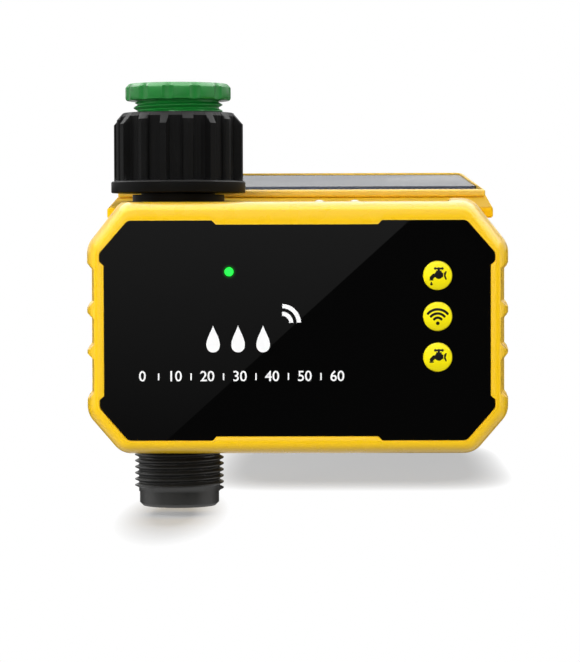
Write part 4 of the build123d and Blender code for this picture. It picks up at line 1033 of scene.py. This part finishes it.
def card_material(name, level):
    """Even glow of one brightness."""
    material = bpy.data.materials.new(name)
    material.use_nodes = True
    tree = material.node_tree
    tree.nodes.remove(tree.nodes["Principled BSDF"])
    light = tree.nodes.new("ShaderNodeEmission")
    light.inputs["Color"].default_value = (1, 1, 1, 1)
    light.inputs["Strength"].default_value = level
    tree.links.new(light.outputs[0], tree.nodes["Material Output"].inputs[0])
    return material


def gloss_card(name, corners, level=1.0):
    """Card that only shows as a reflection."""
    card = stage_sheet(name, corners, card_material(name, level))
    card.visible_camera = False
    card.visible_diffuse = False
    card.visible_shadow = False
    card.visible_transmission = False
    return card


def mirrored(across, height):
    """Point of the card that shows, from the camera, at a point of the panel's face."""
    face_y = PANEL_LOW[1]
    share = (face_y - CARD_Y) / (face_y - CAMERA[1])
    x, z = CENTRE_X + across, height
    return x + (x - CAMERA[0]) * share, z + (z - CAMERA[2]) * share


def graded(card, axis, start, end):
    """Makes a card's glow change along an axis, from one (place, level) to another."""
    nodes = card.data.materials[0].node_tree
    place = nodes.nodes.new("ShaderNodeTexCoord")
    parts = nodes.nodes.new("ShaderNodeSeparateXYZ")
    level = nodes.nodes.new("ShaderNodeMapRange")
    for name, value in (("From Min", start[0] * MM), ("To Min", start[1]),
                        ("From Max", end[0] * MM), ("To Max", end[1])):
        level.inputs[name].default_value = value
    nodes.links.new(place.outputs["Object"], parts.inputs[0])
    nodes.links.new(parts.outputs[axis], level.inputs["Value"])
    nodes.links.new(level.outputs[0], nodes.nodes["Emission"].inputs["Strength"])


# The panel mirrors a dark sheet, and in front of it a grey card whose slanted edge makes the sheen's line.
sheen_high = mirrored(*SHEEN_UPPER_END)
sheen_low = mirrored(*SHEEN_LOWER_END)
lean = (sheen_high[0] - sheen_low[0]) / (sheen_high[1] - sheen_low[1])
top_x = sheen_high[0] + (SHEEN_TOP - sheen_high[1]) * lean
foot_x = sheen_low[0] + (SHEEN_FOOT - sheen_low[1]) * lean
gloss_card("dark_flag", upright(-3500, 3500, -2500, 2500, CARD_Y - 1), PANEL_FLAG_LEVEL)
grey = gloss_card("grey_card", [(SHEEN_LEFT, CARD_Y, SHEEN_TOP), (top_x, CARD_Y, SHEEN_TOP),
                                (foot_x, CARD_Y, SHEEN_FOOT), (SHEEN_LEFT, CARD_Y, SHEEN_FOOT)])
graded(grey, "Z", (sheen_low[1], SHEEN_LEVELS[0]), (sheen_high[1], SHEEN_LEVELS[1]))
over = gloss_card("top_card", level_sheet(-700, 800, -700, 600, CARD_HEIGHT))
graded(over, "Y", (-80, 10.0), (420, 7.0))
gloss_card("right_flag", upright(70, 1300, -600, 30, FLAG_Y), FLAG_LEVEL)
gloss_card("left_flag", upright(-1300, -90, -600, -40, FLAG_Y), FLAG_LEVEL)
under = gloss_card("low_card", level_sheet(-700, 800, -600, 600, -CARD_HEIGHT))
graded(under, "Y", (-150, 1.3), (250, 0.8))

# White behind the part, for the camera and in reflections, and a dim glow from all round as light.
world = bpy.data.worlds.new("studio")
bpy.context.scene.world = world
world.use_nodes = True
tree = world.node_tree
back = tree.nodes["Background"]
path = tree.nodes.new("ShaderNodeLightPath")
place = tree.nodes.new("ShaderNodeTexCoord")
split = tree.nodes.new("ShaderNodeSeparateXYZ")
tree.links.new(place.outputs["Generated"], split.inputs[0])
height = tree.nodes.new("ShaderNodeMapRange")
height.inputs["From Min"].default_value = GLOW_SPAN[0]
height.inputs["From Max"].default_value = GLOW_SPAN[1]
height.inputs["To Min"].default_value = GLOW_BELOW
height.inputs["To Max"].default_value = GLOW_ABOVE
tree.links.new(split.outputs["Z"], height.inputs["Value"])
clear = path.outputs["Is Camera Ray"]
for kind in ("Is Glossy Ray", "Is Transmission Ray"):
    either = tree.nodes.new("ShaderNodeMath")
    either.operation = "MAXIMUM"
    tree.links.new(clear, either.inputs[0])
    tree.links.new(path.outputs[kind], either.inputs[1])
    clear = either.outputs[0]
level = tree.nodes.new("ShaderNodeMapRange")
level.inputs["To Max"].default_value = 1.0
tree.links.new(height.outputs[0], level.inputs["To Min"])
tree.links.new(clear, level.inputs["Value"])
back.inputs["Color"].default_value = (1, 1, 1, 1)
tree.links.new(level.outputs[0], back.inputs["Strength"])


def soft_light(name, place, target, size, power):
    """Rectangular soft box at a place, aimed at a target, in millimetres."""
    lamp = bpy.data.lights.new(name, "AREA")
    lamp.shape = "RECTANGLE"
    lamp.size, lamp.size_y = size[0] * MM, size[1] * MM
    lamp.energy = power
    holder = bpy.data.objects.new(name, lamp)
    bpy.context.scene.collection.objects.link(holder)
    holder.visible_glossy = False
    holder.location = [v * MM for v in place]
    aim = Vector(target) - Vector(place)
    holder.rotation_euler = aim.to_track_quat("-Z", "Y").to_euler()


soft_light("key_front", (-110, -680, 90), (35, 0, -70), (600, 420), 3.8)
soft_light("right_fill", (780, -150, 0), (90, 0, -70), (400, 400), 2.2)
soft_light("left_fill", (-710, -150, 0), (-20, 0, -70), (400, 400), 2.2)

camera_data = bpy.data.cameras.new("camera")
camera = bpy.data.objects.new("camera", camera_data)
bpy.context.scene.collection.objects.link(camera)
camera_data.lens = CAMERA_LENS
camera_data.clip_end = 30
camera.location = [v * MM for v in CAMERA]
yaw, pitch, roll = (math.radians(turn) for turn in CAMERA_TURN)
turned = (Matrix.Rotation(yaw, 4, "Z") @ Matrix.Rotation(math.radians(90) + pitch, 4, "X")
          @ Matrix.Rotation(roll, 4, "Z"))
camera.rotation_euler = turned.to_euler()
bpy.context.scene.camera = camera
bpy.context.scene.view_settings.view_transform = "Standard"
